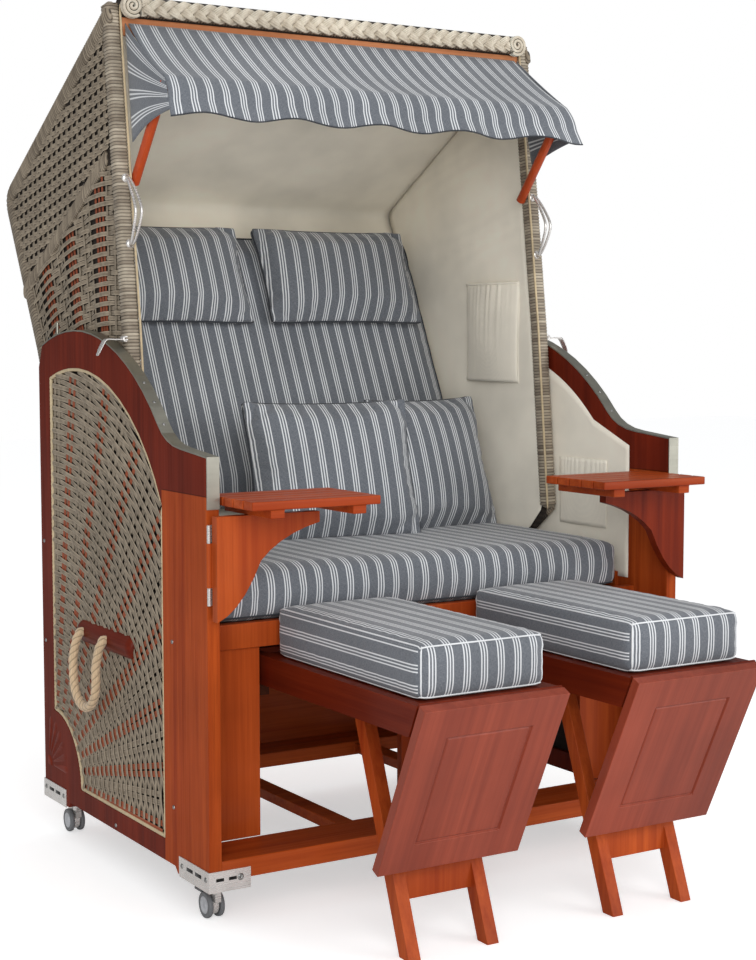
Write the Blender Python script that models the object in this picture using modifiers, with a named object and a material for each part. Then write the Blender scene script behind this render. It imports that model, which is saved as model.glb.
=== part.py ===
"""Hooded two-seater beach chair.

Metres, +Z up. X runs across the seat with 0 in the middle, Y runs from the front of the side frames (0) to
the rear, and Z is 0 on the floor. A wooden base with woven side panels carries a woven hood that tilts about
a rod behind the seat. Two footrests pull out from under the seat, two side tables swing on the front posts,
and the chair stands on four castors.
"""

import math

import bmesh
import bpy
from mathutils import Matrix, Vector

# Clearances
GAP = 0.0003
OVERRUN = 0.004
WELD = 0.00001

# Side frames
WIDTH = 1.100
DEPTH = 0.815
BOARD = 0.025
POST_WIDTH = 0.190
POST_TOP = 0.867
POST_TOP_RISE = 0.010
POST_TOP_RUN = 0.110
STILE_WIDTH = 0.060
FRAME_BOTTOM = 0.088
BOTTOM_RAIL = 0.042
PAD_HEIGHT = 0.0115
PAD_LENGTH = 0.135
ARCH_RADIUS = 0.553
ARCH_DEPTH = 0.075
ARCH_FRONT_DEG = 137.0
ARCH_REAR_DEG = 70.5
REAR_CORNER_DROP = 0.045
FAN_RADIUS = 0.145
WEAVE_THICKNESS = 0.012
INNER_RAIL_THICKNESS = 0.0135
INNER_RAIL_HEIGHT = 0.090
INNER_RAIL_LAP = 0.030

# Hood pivot, which is also the centre of the arched top rail
PIVOT_Y = 0.610
PIVOT_Z = 0.540
PIVOT_BOLT = 0.006
PIVOT_PLAY = 0.0004
PIVOT_END = 0.004

# Steel rail on the arch
STRIP = 0.0025
STRIP_FRONT_DROP = 0.092
STOP_PIN_DEG = 77.0
STOP_PIN_HEIGHT = 0.030
STOP_PIN_RADIUS = 0.003

# Rope handles
BLOCK_FRONT = 0.333
BLOCK_REAR = 0.601
BLOCK_LOW = 0.452
BLOCK_HIGH = 0.494
BLOCK_PROUD = 0.008
ROPE_RADIUS = 0.0095
ROPE_HANG = 0.145
ROPE_FRONT = 0.445
ROPE_REAR = 0.565
ROPE_Z = 0.475
ROPE_BEND = 0.045
ROPE_STUB = 0.007

# Floor and rear frame
PLANK_DEPTH = 0.114
PLANK_LOW = 0.0925
PLANK_TOP = 0.130
FLOOR_RAIL_X = 0.190
FLOOR_RAIL_WIDTH = 0.040
FLOOR_RAIL_DROP = 0.005
REAR_FACE = 0.010
REAR_BOARD = 0.018
REAR_BOARD_TOP = 0.355
REAR_STILE = 0.035
REAR_RAIL_LOW = 0.500
REAR_RAIL_TOP = 0.530

# Front frame
APRON_Y = 0.105
APRON_THICKNESS = 0.022
APRON_LOW = 0.497
APRON_TOP = 0.545
FRONT_BOARD_SETBACK = 0.008
FRONT_BOARD_THICKNESS = 0.018
BAY_HALF_WIDTH = 0.385
CENTRE_POST_HALF = 0.066

# Seat deck
SLAT = 0.018
SLAT_WIDTH = 0.072
SLAT_COUNT = 9
DECK_SIDE_GAP = 0.045
DECK_BEAM_DEPTH = 0.030
DECK_BEAM_REAR = 0.548
DECK_BEAM_LOW = 0.482
DECK_CLEAT = 0.020

# Footrests
FOOTREST_OUTER = 0.3757
FOOTREST_INNER = 0.0766
FOOTREST_TRAVEL = 0.500
FOOTREST_HINGE_Y = -0.4235
FOOTREST_HINGE_Z = 0.4775
FOOTREST_HINGE_RADIUS = 0.004
FOOTREST_RAIL = 0.020
FOOTREST_RAIL_LOW = 0.420
FOOTREST_RAIL_REAR = 0.260
FOOTREST_SLAT = 0.014
FOOTREST_SLAT_WIDTH = 0.070
FOOTREST_SLAT_COUNT = 6
PANEL_LENGTH = 0.345
PANEL_THICKNESS = 0.020
PANEL_TILT_DEG = 25.5
LEG_PIVOT_Y = -0.135
LEG_PIVOT_Z = 0.437
LEG_FOOT_Y = -0.300
LEG_WIDTH = 0.025
LEG_DEPTH = 0.030
LEG_OUTER = 0.3225
LEG_INNER = 0.131
LEG_ROD = 0.007
LEG_ROD_PLAY = 0.0005
LEG_ROD_TRAVEL_SHARE = 0.68
LEG_GROOVE = 0.009
LEG_BAR_LOW = 0.093
LEG_BAR_HIGH = 0.150
LEG_BAR_THICKNESS = 0.018
GUIDE_HEIGHT = 0.022
GUIDE_LAP = 0.010
GUIDE_BEAM = 0.020
FOOT_CUSHION_OUTER = 0.3504
FOOT_CUSHION_INNER = 0.1025
FOOT_CUSHION_FRONT = -0.402
FOOT_CUSHION_REAR = 0.096
FOOT_CUSHION_HEIGHT = 0.100

# Side tables
TABLE_TOP_Z = 0.797
TABLE_SLAT = 0.016
TABLE_SLAT_COUNT = 5
TABLE_SLAT_GAP = 0.004
TABLE_FRONT = -0.120
TABLE_REAR = 0.070
TABLE_LENGTH = 0.262
TABLE_BATTEN = 0.016
TABLE_BATTEN_WIDTH = 0.028
TABLE_SIDE_CLEARANCE = 0.005
BRACKET_THICKNESS = 0.020
BRACKET_HEIGHT = 0.190
BRACKET_REACH = 0.210
BRACKET_SETBACK = 0.010
BRACKET_TIP = 0.020
HINGE_ROD = 0.0035
HINGE_ROD_Y = -0.0060
HINGE_ROD_INSET = 0.001
HINGE_LEAF = 0.003
HINGE_LEAF_WIDTH = 0.020
HINGE_LEAF_HEIGHT = 0.032
HINGE_LOW = 0.603
HINGE_HIGH = 0.748
SLEEVE_WALL = 0.0020

# Corner brackets and castors
BRACKET_PLATE = 0.002
BRACKET_WING_HEIGHT = 0.025
BRACKET_SIDE_WING = 0.125
BRACKET_FRONT_WING = 0.083
BRACKET_BASE = 0.075
CASTOR_INSET = 0.045
CASTOR_FRONT_Y = 0.066
CASTOR_REAR_INSET = 0.070
CASTOR_TRAIL = 0.018
WHEEL_RADIUS = 0.025
WHEEL_WIDTH = 0.009
WHEEL_SPACE = 0.0075
HOUSING_HALF = 0.006
HOUSING_RADIUS = 0.019
AXLE_RADIUS = 0.004
AXLE_PLAY = 0.0004
STEM_RADIUS = 0.0095
BRAKE_LENGTH = 0.030
BRAKE_HALF_WIDTH = 0.012
BRAKE_THICKNESS = 0.004
BRAKE_Z = 0.043

# Hood
HOOD_CLEARANCE = 0.012
HOOD_SKIN = 0.018
HOOD_SIDE = 0.012
LINING = 0.003
POST_FOOT_Y, POST_FOOT_Z = 0.372, 0.690
POST_MID_Y, POST_MID_Z = 0.412, 1.100
POST_HEAD_Y, POST_HEAD_Z = 0.495, 1.742
SHOULDER_Y, SHOULDER_Z = 1.100, 1.402
KNEE_Y, KNEE_Z = 0.905, 1.050
HEEL_Y, HEEL_Z = 0.690, 0.575
SILL_Y, SILL_Z = 0.448, 0.633
SHOULDER_RADIUS = 0.050
BOSS_RADIUS = 0.030
HOOD_POST_DEPTH = 0.028
HOOD_POST_WIDTH = 0.025
BEAM_DEPTH = 0.016
BEAM_LOW = 1.684
BEAM_HEIGHT = 0.033
BRAID_RADIUS = 0.022
BRAID_Y = 0.500
BRAID_Z = 1.740
LIP_LENGTH = 0.080

# Awning
ARM_INSET = 0.0365
ARM_RADIUS = 0.0100
ARM_PIVOT_Y, ARM_PIVOT_Z = 0.463, 1.388
AWNING_ROD_Y, AWNING_ROD_Z = 0.312, 1.572
AWNING_ROD = 0.009
AWNING_PIN = 0.004
AWNING_FOLD_SHARE = 0.92
CLOTH = 0.003
AWNING_TOP_HALF = 0.455
AWNING_FOOT_HALF = 0.497
AWNING_BEAM_Y, AWNING_BEAM_Z = 0.4920, 1.7040
VALANCE_Y, VALANCE_Z = 0.268, 1.505
AWNING_SAG = 0.012
VALANCE_RIPPLE = 0.004
VALANCE_FOLDS = 7

# Grab handles and latch levers
GRAB_RADIUS = 0.004
GRAB_LOW = 1.262
GRAB_HIGH = 1.400
GRAB_REACH = 0.048
GRAB_FOOT_SHARE = 0.82
LATCH_Y = 0.4215
LATCH_Z = 1.078
LATCH_WIDTH = 0.018
LATCH_STRAP = 0.004
LATCH_REACH = 0.047
LATCH_DROP = 0.032
LATCH_FLARE = 0.018
LATCH_EYE = 0.007

# Cushions
SEAT_SIDE_GAP = 0.039
SEAT_CUSHION_FRONT = 0.110
SEAT_CUSHION_REAR = 0.585
SEAT_CUSHION_HEIGHT = 0.108
BACK_TILT_DEG = 25.3
BACK_SIDE_GAP = 0.043
BACK_LENGTH = 0.680
BACK_THICKNESS = 0.095
BACK_PRESS = 0.0005
BACK_Y, BACK_Z = 0.806, 1.010
HEAD_WIDTH = 0.420
HEAD_LENGTH = 0.250
HEAD_THICKNESS = 0.095
HEAD_LEFT_X = -0.245
HEAD_RIGHT_X = 0.212
HEAD_RISE = 0.205
HEAD_LEFT_PRESS = 0.0064
HEAD_RIGHT_PRESS = 0.0053
THROW_WIDTH = 0.400
THROW_HEIGHT = 0.320
THROW_THICKNESS = 0.105
THROW_LEFT_X, THROW_LEFT_Y = -0.005, 0.490
THROW_RIGHT_X, THROW_RIGHT_Y = 0.288, 0.545
THROW_RIGHT_WIDTH = 0.340
THROW_LEFT_YAW_DEG = -7.0
THROW_RIGHT_YAW_DEG = 9.0
THROW_TILT_DEG = 17.0
THROW_Z = 0.800
THROW_LEFT_PRESS = 0.0015
THROW_RIGHT_PRESS = 0.0027
SEAM = 0.012
SOFT_EDGE = 0.028
PILLOW_EDGE = 0.060

OUTER_X = WIDTH / 2
INNER_X = OUTER_X - BOARD
CASTOR_REAR_Y = DEPTH - CASTOR_REAR_INSET
HOOD_HALF_WIDTH = INNER_X - HOOD_CLEARANCE
DECK_HALF_WIDTH = INNER_X - DECK_SIDE_GAP
ARM_X = HOOD_HALF_WIDTH - ARM_INSET
BACK_WIDTH = 2 * (HOOD_HALF_WIDTH - BACK_SIDE_GAP)
SEAT_CUSHION_HALF = HOOD_HALF_WIDTH - SEAT_SIDE_GAP
RAIL_FACE_X = INNER_X + OVERRUN - INNER_RAIL_THICKNESS
SIDES = (("left", -1), ("right", 1))

# Rough finishes: colour, roughness, metallic
FINISHES = {
    "dark_wood": ((0.16, 0.035, 0.015), 0.35, 0.0),
    "red_wood": ((0.42, 0.075, 0.020), 0.35, 0.0),
    "inner_wood": ((0.060, 0.020, 0.010), 0.6, 0.0),
    "wicker": ((0.33, 0.27, 0.21), 0.6, 0.0),
    "steel": ((0.62, 0.62, 0.60), 0.3, 1.0),
    "rope": ((0.60, 0.44, 0.25), 0.9, 0.0),
    "rubber": ((0.20, 0.20, 0.21), 0.6, 0.0),
    "lining": ((0.55, 0.48, 0.38), 0.9, 0.0),
    "striped_cloth": ((0.15, 0.17, 0.20), 0.9, 0.0),
    "arm_wood": ((0.55, 0.10, 0.03), 0.4, 0.0),
}

UP = Vector((0, 0, 1))
PLANE_YZ = Matrix(((0, 0, 1), (1, 0, 0), (0, 1, 0))).to_4x4()
PLANE_XZ = Matrix(((1, 0, 0), (0, 0, -1), (0, 1, 0))).to_4x4()
PLANE_XY = Matrix.Identity(4)


def clear_scene():
    for obj in list(bpy.data.objects):
        bpy.data.objects.remove(obj, do_unlink=True)


def new_collection(name):
    collection = bpy.data.collections.new(name)
    bpy.context.scene.collection.children.link(collection)
    return collection


clear_scene()
PARTS = new_collection("beach_chair")
CUTTERS = new_collection("cutters")


def finish(obj, kind):
    """Gives the object its own material."""
    colour, roughness, metallic = FINISHES[kind]
    material = bpy.data.materials.new(f"{obj.name}_{kind}")
    material.use_nodes = True
    shader = material.node_tree.nodes["Principled BSDF"]
    shader.inputs["Base Color"].default_value = (*colour, 1)
    shader.inputs["Roughness"].default_value = roughness
    shader.inputs["Metallic"].default_value = metallic
    obj.data.materials.clear()
    obj.data.materials.append(material)
    return obj


def link_mesh(name, bm):
    mesh = bpy.data.meshes.new(name)
    bm.to_mesh(mesh)
    bm.free()
    obj = bpy.data.objects.new(name, mesh)
    PARTS.objects.link(obj)
    return obj


def box(name, low, high):
    """A box between two corners."""
    low, high = Vector(low), Vector(high)
    bm = bmesh.new()
    bmesh.ops.create_cube(bm, size=1)
    bmesh.ops.scale(bm, vec=high - low, verts=bm.verts)
    bmesh.ops.translate(bm, vec=(low + high) / 2, verts=bm.verts)
    return link_mesh(name, bm)


def mirrored_box(name, side, x_near, x_far, y_low, y_high, z_low, z_high):
    """A box given for the +X side, on the side asked for."""
    ends = sorted((side * x_near, side * x_far))
    return box(name, (ends[0], y_low, z_low), (ends[1], y_high, z_high))


def cylinder(name, start, end, radius, segments=16):
    """A round bar from one point to another."""
    start, end = Vector(start), Vector(end)
    bm = bmesh.new()
    bmesh.ops.create_cone(
        bm, cap_ends=True, segments=segments, radius1=radius, radius2=radius, depth=(end - start).length
    )
    turn = (end - start).to_track_quat("Z", "Y").to_matrix().to_4x4()
    bmesh.ops.transform(bm, matrix=Matrix.Translation((start + end) / 2) @ turn, verts=bm.verts)
    obj = link_mesh(name, bm)
    obj.data.shade_smooth()
    obj.data.set_sharp_from_angle(angle=math.radians(40))
    return obj


def as_mesh(obj):
    """The curve object as a mesh with its caps welded."""
    bpy.context.view_layer.update()
    graph = bpy.context.evaluated_depsgraph_get()
    mesh = bpy.data.meshes.new_from_object(obj.evaluated_get(graph))
    bm = bmesh.new()
    bm.from_mesh(mesh)
    bmesh.ops.remove_doubles(bm, verts=bm.verts, dist=WELD)
    bmesh.ops.recalc_face_normals(bm, faces=bm.faces)
    bm.to_mesh(mesh)
    bm.free()
    name = obj.name
    made = bpy.data.objects.new(name + "_mesh", mesh)
    made.matrix_world = obj.matrix_world.copy()
    PARTS.objects.link(made)
    bpy.data.objects.remove(obj, do_unlink=True)
    made.name = name
    return made


def plate(name, outline, thickness, plane, centre, holes=()):
    """A flat outline, with holes, filled and given a thickness about the centre plane."""
    curve = bpy.data.curves.new(name, "CURVE")
    curve.dimensions = "2D"
    curve.fill_mode = "BOTH"
    curve.extrude = thickness / 2
    for points in (outline, *holes):
        spline = curve.splines.new("POLY")
        spline.points.add(len(points) - 1)
        for point, place in zip(spline.points, points):
            point.co = (*place, 0, 1)
        spline.use_cyclic_u = True
    obj = bpy.data.objects.new(name, curve)
    PARTS.objects.link(obj)
    obj.matrix_world = Matrix.Translation(centre) @ plane
    return as_mesh(obj)


def tube(name, points, radius, resolution=2, closed=False):
    """A round wire or rope through the points."""
    curve = bpy.data.curves.new(name, "CURVE")
    curve.dimensions = "3D"
    curve.bevel_depth = radius
    curve.bevel_resolution = resolution
    curve.use_fill_caps = True
    spline = curve.splines.new("POLY")
    spline.points.add(len(points) - 1)
    for point, place in zip(spline.points, points):
        point.co = (*place, 1)
    spline.use_cyclic_u = closed
    obj = bpy.data.objects.new(name, curve)
    PARTS.objects.link(obj)
    return as_mesh(obj)


def boolean(obj, other, operation):
    """Joins or cuts with another object, which becomes a hidden helper."""
    PARTS.objects.unlink(other)
    CUTTERS.objects.link(other)
    other.hide_render = True
    other.display_type = "WIRE"
    modifier = obj.modifiers.new(other.name, "BOOLEAN")
    modifier.operation = operation
    modifier.object = other
    return obj


def fuse(obj, *others):
    for other in others:
        boolean(obj, other, "UNION")
    return obj


def cut(obj, *others):
    for other in others:
        boolean(obj, other, "DIFFERENCE")
    return obj


def arc(centre_y, centre_z, radius, start_deg, end_deg, steps):
    """Points on an arc, angles measured from +Y towards +Z."""
    angles = [math.radians(start_deg + (end_deg - start_deg) * i / steps) for i in range(steps + 1)]
    return [(centre_y + radius * math.cos(a), centre_z + radius * math.sin(a)) for a in angles]


def bend(start, control, end, steps):
    """Points on a quadratic curve, without its first point."""
    points = []
    for i in range(1, steps + 1):
        t = i / steps
        points.append(
            tuple((1 - t) ** 2 * a + 2 * t * (1 - t) * b + t * t * c for a, b, c in zip(start, control, end))
        )
    return points


def offset_path(points, distance):
    """The path moved sideways, to its left as it runs, with mitred corners."""
    moved = []
    for i, here in enumerate(points):
        here = Vector(here)
        before = (here - Vector(points[i - 1])).normalized() if i else None
        after = (Vector(points[i + 1]) - here).normalized() if i + 1 < len(points) else None
        before = before or after
        after = after or before
        normal = (Vector((-before.y, before.x)) + Vector((-after.y, after.x))).normalized()
        share = normal.dot(Vector((-before.y, before.x)))
        moved.append(tuple(here + normal * distance / share))
    return moved


def band(points, inner, outer):
    """A closed outline between two offsets of a path."""
    return offset_path(points, outer) + offset_path(points, inner)[::-1]


def along(start, end, share):
    return tuple(a + (b - a) * share for a, b in zip(start, end))


def rounded(corner, before, after, radius, steps):
    """Points of an arc that rounds a corner between two straight runs."""
    corner, before, after = Vector(corner), Vector(before), Vector(after)
    into, out = (before - corner).normalized(), (after - corner).normalized()
    half = into.angle(out) / 2
    start, end = corner + into * radius / math.tan(half), corner + out * radius / math.tan(half)
    return [tuple(start)] + bend(tuple(start), tuple(corner), tuple(end), steps)


# Cushions


def soft_form(name, size, edge, crown_share, pull_share, seam_share, levels=1):
    """A cushion about its own centre, X by Y, with its crown up Z.

    The cage's outer rows lie one edge width in from the sides. The crown swells the middle, the sides draw
    in between the corners by the pull share, and the rim keeps the seam share of the thickness.
    """
    bm = bmesh.new()
    bmesh.ops.create_cube(bm, size=2)
    bmesh.ops.subdivide_edges(bm, edges=bm.edges, cuts=3, use_grid_fill=True)
    half = [length / 2 for length in size]
    for vert in bm.verts:
        x, y, z = vert.co
        place = []
        for value, reach in zip((x, y), half):
            inner = (reach - edge) / reach
            share = abs(value)
            share = share * 2 * inner if share <= 0.5 else inner + (share - 0.5) * 2 * (1 - inner)
            place.append(math.copysign(share, value))
        u, v = place
        swell = (1 - u * u) * (1 - v * v)
        rim = seam_share + (1 - seam_share) * min(1, (1 - max(abs(u), abs(v))) / (edge / min(half[:2])))
        height = z * (rim * (1 - crown_share) + crown_share * swell)
        u *= 1 - pull_share * (1 - v * v) * abs(u)
        v *= 1 - pull_share * (1 - place[0] ** 2) * abs(v)
        vert.co = (u * half[0], v * half[1], height * half[2])
    obj = link_mesh(name, bm)
    modifier = obj.modifiers.new("Subdivision", "SUBSURF")
    modifier.levels = modifier.render_levels = levels
    obj.data.shade_smooth()
    return obj


def place(obj, matrix):
    obj.data.transform(matrix)
    return obj


def points_of(obj):
    """The vertices of the object as its modifiers leave it."""
    bpy.context.view_layer.update()
    shape = obj.evaluated_get(bpy.context.evaluated_depsgraph_get()).to_mesh()
    return [obj.matrix_world @ vert.co for vert in shape.vertices]


def rest_on(obj, normal, level):
    """Moves the object along the normal until its lowest point lies at the level."""
    low = min(point.dot(normal) for point in points_of(obj))
    return place(obj, Matrix.Translation(normal * (level - low)))


def empty_at(name, location):
    empty = bpy.data.objects.new(name, None)
    empty.location = location
    empty.empty_display_size = 2 * SOFT_EDGE
    PARTS.objects.link(empty)
    return empty


def carry(empty, *objects):
    """Parents the objects to an empty on their joint's axis, without moving them."""
    bpy.context.view_layer.update()
    for obj in objects:
        obj.parent = empty
        obj.matrix_parent_inverse = empty.matrix_world.inverted()


# Base: side frames


def top_edge():
    """The post's top, the hollow behind it and the arch, from front to rear."""
    arch = arc(PIVOT_Y, PIVOT_Z, ARCH_RADIUS, ARCH_FRONT_DEG, ARCH_REAR_DEG, 14)
    lead = (POST_TOP_RUN, POST_TOP + POST_TOP_RISE)
    angle = math.radians(ARCH_FRONT_DEG)
    drop = arch[0][1] - lead[1] - POST_TOP_RISE / 2
    control = (arch[0][0] - drop * math.sin(angle) / -math.cos(angle), arch[0][1] - drop)
    return [(0, POST_TOP), lead] + bend(lead, control, arch[0], 4) + arch[1:]


def frame_outline():
    pad_low = FRAME_BOTTOM - PAD_HEIGHT
    rear_top = (DEPTH, top_edge()[-1][1] - REAR_CORNER_DROP)
    foot = [
        (DEPTH, pad_low),
        (DEPTH - PAD_LENGTH, pad_low),
        (DEPTH - PAD_LENGTH - PAD_HEIGHT, FRAME_BOTTOM),
        (PAD_LENGTH + PAD_HEIGHT, FRAME_BOTTOM),
        (PAD_LENGTH, pad_low),
        (0, pad_low),
    ]
    return top_edge() + [rear_top] + foot


def window_outline(inset=0.0):
    """The opening for the woven panel: post, arch, stile, carved fan and bottom rail."""
    radius = ARCH_RADIUS - ARCH_DEPTH - inset
    front, rear = POST_WIDTH + inset, DEPTH - STILE_WIDTH - inset
    low = FRAME_BOTTOM + BOTTOM_RAIL + inset
    start = math.degrees(math.acos((front - PIVOT_Y) / radius))
    end = math.degrees(math.acos((rear - PIVOT_Y) / radius))
    fan = arc(DEPTH - STILE_WIDTH, FRAME_BOTTOM + BOTTOM_RAIL, FAN_RADIUS + inset, 90, 180, 6)
    fan[0], fan[-1] = (rear, fan[0][1]), (fan[-1][0], low)
    return arc(PIVOT_Y, PIVOT_Z, radius, start, end, 12) + fan + [(front, low)]


def make_side(label, side):
    frame = plate(
        f"side_frame_{label}",
        frame_outline(),
        BOARD,
        PLANE_YZ,
        (side * (OUTER_X - BOARD / 2), 0, 0),
        [window_outline()],
    )
    rail = mirrored_box(
        f"inner_rail_{label}", side, RAIL_FACE_X, INNER_X + OVERRUN,
        POST_WIDTH - INNER_RAIL_LAP, DEPTH - STILE_WIDTH + INNER_RAIL_LAP,
        PIVOT_Z - INNER_RAIL_HEIGHT * 2 / 3, PIVOT_Z + INNER_RAIL_HEIGHT / 3,
    )
    bolt = cylinder(
        f"pivot_bolt_{label}",
        (side * (HOOD_HALF_WIDTH - HOOD_SIDE - PIVOT_END), PIVOT_Y, PIVOT_Z),
        (side * (RAIL_FACE_X + OVERRUN), PIVOT_Y, PIVOT_Z),
        PIVOT_BOLT,
    )
    finish(fuse(frame, rail, bolt), "dark_wood")

    middle = OUTER_X - (BOARD - OVERRUN) / 2
    weave = plate(
        f"side_weave_{label}", window_outline(GAP), WEAVE_THICKNESS, PLANE_YZ, (side * middle, 0, 0)
    )
    block = mirrored_box(
        f"handle_block_{label}", side, middle, OUTER_X + BLOCK_PROUD,
        BLOCK_FRONT, BLOCK_REAR, BLOCK_LOW, BLOCK_HIGH,
    )
    finish(fuse(weave, block), "wicker")

    edge = [(0, POST_TOP - STRIP_FRONT_DROP)] + top_edge()
    strip = plate(
        f"rail_strip_{label}", band(edge, GAP, GAP + STRIP), BOARD, PLANE_YZ,
        (side * (OUTER_X - BOARD / 2), 0, 0),
    )
    pin_y, pin_z = arc(PIVOT_Y, PIVOT_Z, ARCH_RADIUS + STRIP, STOP_PIN_DEG, STOP_PIN_DEG, 1)[0]
    pin = cylinder(
        f"stop_pin_{label}",
        (side * (OUTER_X - BOARD / 2), pin_y, pin_z - STRIP / 2),
        (side * (OUTER_X - BOARD / 2), pin_y, pin_z + STOP_PIN_HEIGHT),
        STOP_PIN_RADIUS, 10,
    )
    finish(fuse(strip, pin), "steel")


def rope_route(side):
    """A loop that leaves the block slantwise, hangs under its own weight and goes back in."""
    face = OUTER_X + BLOCK_PROUD + GAP
    slant = math.radians(45)
    middle = (ROPE_FRONT + ROPE_REAR) / 2
    half = (ROPE_REAR - ROPE_FRONT) / 2
    out = ROPE_BEND * (1 - math.cos(slant)) + ROPE_RADIUS
    drop = ROPE_BEND * math.sin(slant) + ROPE_RADIUS
    half_loop = [(face + ROPE_STUB, half, ROPE_Z)]
    half_loop += [(face + ROPE_STUB + ROPE_RADIUS / 2, half, ROPE_Z - ROPE_RADIUS / 2)]
    half_loop += [(face + out, half, ROPE_Z - ROPE_RADIUS - drop)]
    bottom = ROPE_Z - ROPE_HANG
    straight = (half_loop[-1][2] - bottom - half)
    half_loop += [(face + out, half, bottom + half + straight / 3)]
    for i in range(1, 6):
        angle = math.radians(90 * i / 5)
        half_loop.append((face + out, half * math.cos(angle), bottom + half * (1 - math.sin(angle))))
    full = half_loop + [(x, -y, z) for x, y, z in half_loop[-2::-1]]
    loop = smooth_route([(side * x, middle + y, z) for x, y, z in full], 2 * ROPE_RADIUS)
    root = side * face
    return [(root, middle + half, ROPE_Z)] + loop + [(root, middle - half, ROPE_Z)]


def smooth_route(points, spacing):
    """Even points on a smooth curve through the route's points."""
    points = [Vector(p) for p in points]
    dense = []
    for i in range(len(points) - 1):
        before = points[max(i - 1, 0)]
        start, end = points[i], points[i + 1]
        after = points[min(i + 2, len(points) - 1)]
        for step in range(12):
            t = step / 12
            dense.append(
                0.5 * (
                    2 * start + (end - before) * t + (2 * before - 5 * start + 4 * end - after) * t * t
                    + (3 * start - before - 3 * end + after) * t ** 3
                )
            )
    dense.append(points[-1])
    reach = [0.0]
    for a, b in zip(dense, dense[1:]):
        reach.append(reach[-1] + (b - a).length)
    count = max(8, round(reach[-1] / spacing))
    even, j = [], 0
    for i in range(count + 1):
        goal = reach[-1] * i / count
        while j < len(reach) - 2 and reach[j + 1] < goal:
            j += 1
        share = (goal - reach[j]) / (reach[j + 1] - reach[j])
        even.append(tuple(dense[j].lerp(dense[j + 1], share)))
    return even


def make_ropes():
    for label, side in SIDES:
        finish(tube(f"rope_{label}", rope_route(side), ROPE_RADIUS, 2), "rope")


# Base: floor, front, guides, deck, rear


def make_floor():
    half = INNER_X - GAP
    rear = DEPTH - REAR_FACE
    edge = half - OVERRUN
    inner = half - REAR_STILE
    pieces = [
        plate(
            "rear_wall",
            [(-half, PLANK_LOW), (half, PLANK_LOW), (half, REAR_RAIL_TOP), (-half, REAR_RAIL_TOP)],
            REAR_BOARD,
            PLANE_XZ,
            (0, rear - REAR_BOARD / 2, 0),
            [
                [
                    (-inner, REAR_BOARD_TOP), (inner, REAR_BOARD_TOP), (inner, REAR_RAIL_LOW),
                    (-inner, REAR_RAIL_LOW),
                ]
            ],
        ),
        box(
            "floor_rear", (-edge, rear - PLANK_DEPTH, PLANK_LOW + FLOOR_RAIL_DROP),
            (edge, rear - REAR_BOARD / 2, PLANK_TOP),
        ),
    ]
    for label, side in SIDES:
        pieces.append(
            mirrored_box(
                f"floor_rail_{label}", side, FLOOR_RAIL_X - FLOOR_RAIL_WIDTH / 2,
                FLOOR_RAIL_X + FLOOR_RAIL_WIDTH / 2, PLANK_DEPTH - OVERRUN,
                rear - PLANK_DEPTH + OVERRUN, PLANK_LOW + 2 * FLOOR_RAIL_DROP, PLANK_TOP - FLOOR_RAIL_DROP,
            )
        )
    floor = box("floor_frame", (-half, 0, PLANK_LOW), (half, PLANK_DEPTH, PLANK_TOP))
    fuse(floor, *pieces[2:], pieces[1], pieces[0])
    finish(floor, "dark_wood")
    panel = box(
        "rear_weave",
        (-half + REAR_STILE + GAP, rear - REAR_BOARD / 2 - WEAVE_THICKNESS / 2, REAR_BOARD_TOP + GAP),
        (half - REAR_STILE - GAP, rear - REAR_BOARD / 2 + WEAVE_THICKNESS / 2, REAR_RAIL_LOW - GAP),
    )
    finish(panel, "wicker")


def make_front():
    half = INNER_X - GAP
    face = APRON_Y + FRONT_BOARD_SETBACK
    back = face + FRONT_BOARD_THICKNESS
    low = PLANK_TOP + GAP
    front = box("front_frame", (-half, APRON_Y, APRON_LOW), (half, APRON_Y + APRON_THICKNESS, APRON_TOP))
    pieces = [box("centre_post", (-CENTRE_POST_HALF, face, low), (CENTRE_POST_HALF, back, APRON_LOW + OVERRUN))]
    for label, side in SIDES:
        pieces.append(
            mirrored_box(
                f"front_board_{label}", side, BAY_HALF_WIDTH, half, face, back, low, APRON_LOW + OVERRUN
            )
        )
    finish(fuse(front, *pieces), "red_wood")


def make_guides():
    """Battens that the footrest rails slide on, tied by a beam in front of the rear frame."""
    start = APRON_Y + FRONT_BOARD_SETBACK + FRONT_BOARD_THICKNESS + GAP
    end = DEPTH - REAR_FACE - REAR_BOARD - GAP
    top = FOOTREST_RAIL_LOW - GAP
    low = top - GUIDE_HEIGHT
    beam = box("guide_frame", (-INNER_X + GAP, end - GUIDE_BEAM, low), (INNER_X - GAP, end, top))
    battens = []
    for label, side in SIDES:
        outer = (FOOTREST_OUTER - FOOTREST_RAIL, BAY_HALF_WIDTH + GUIDE_LAP)
        inner = (CENTRE_POST_HALF - GUIDE_LAP, FOOTREST_INNER + FOOTREST_RAIL)
        for kind, (near, far) in (("outer", outer), ("inner", inner)):
            battens.append(
                mirrored_box(
                    f"guide_{kind}_{label}", side, near, far, start, end - GUIDE_BEAM + OVERRUN, low, top
                )
            )
    finish(fuse(beam, *battens), "inner_wood")


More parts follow.
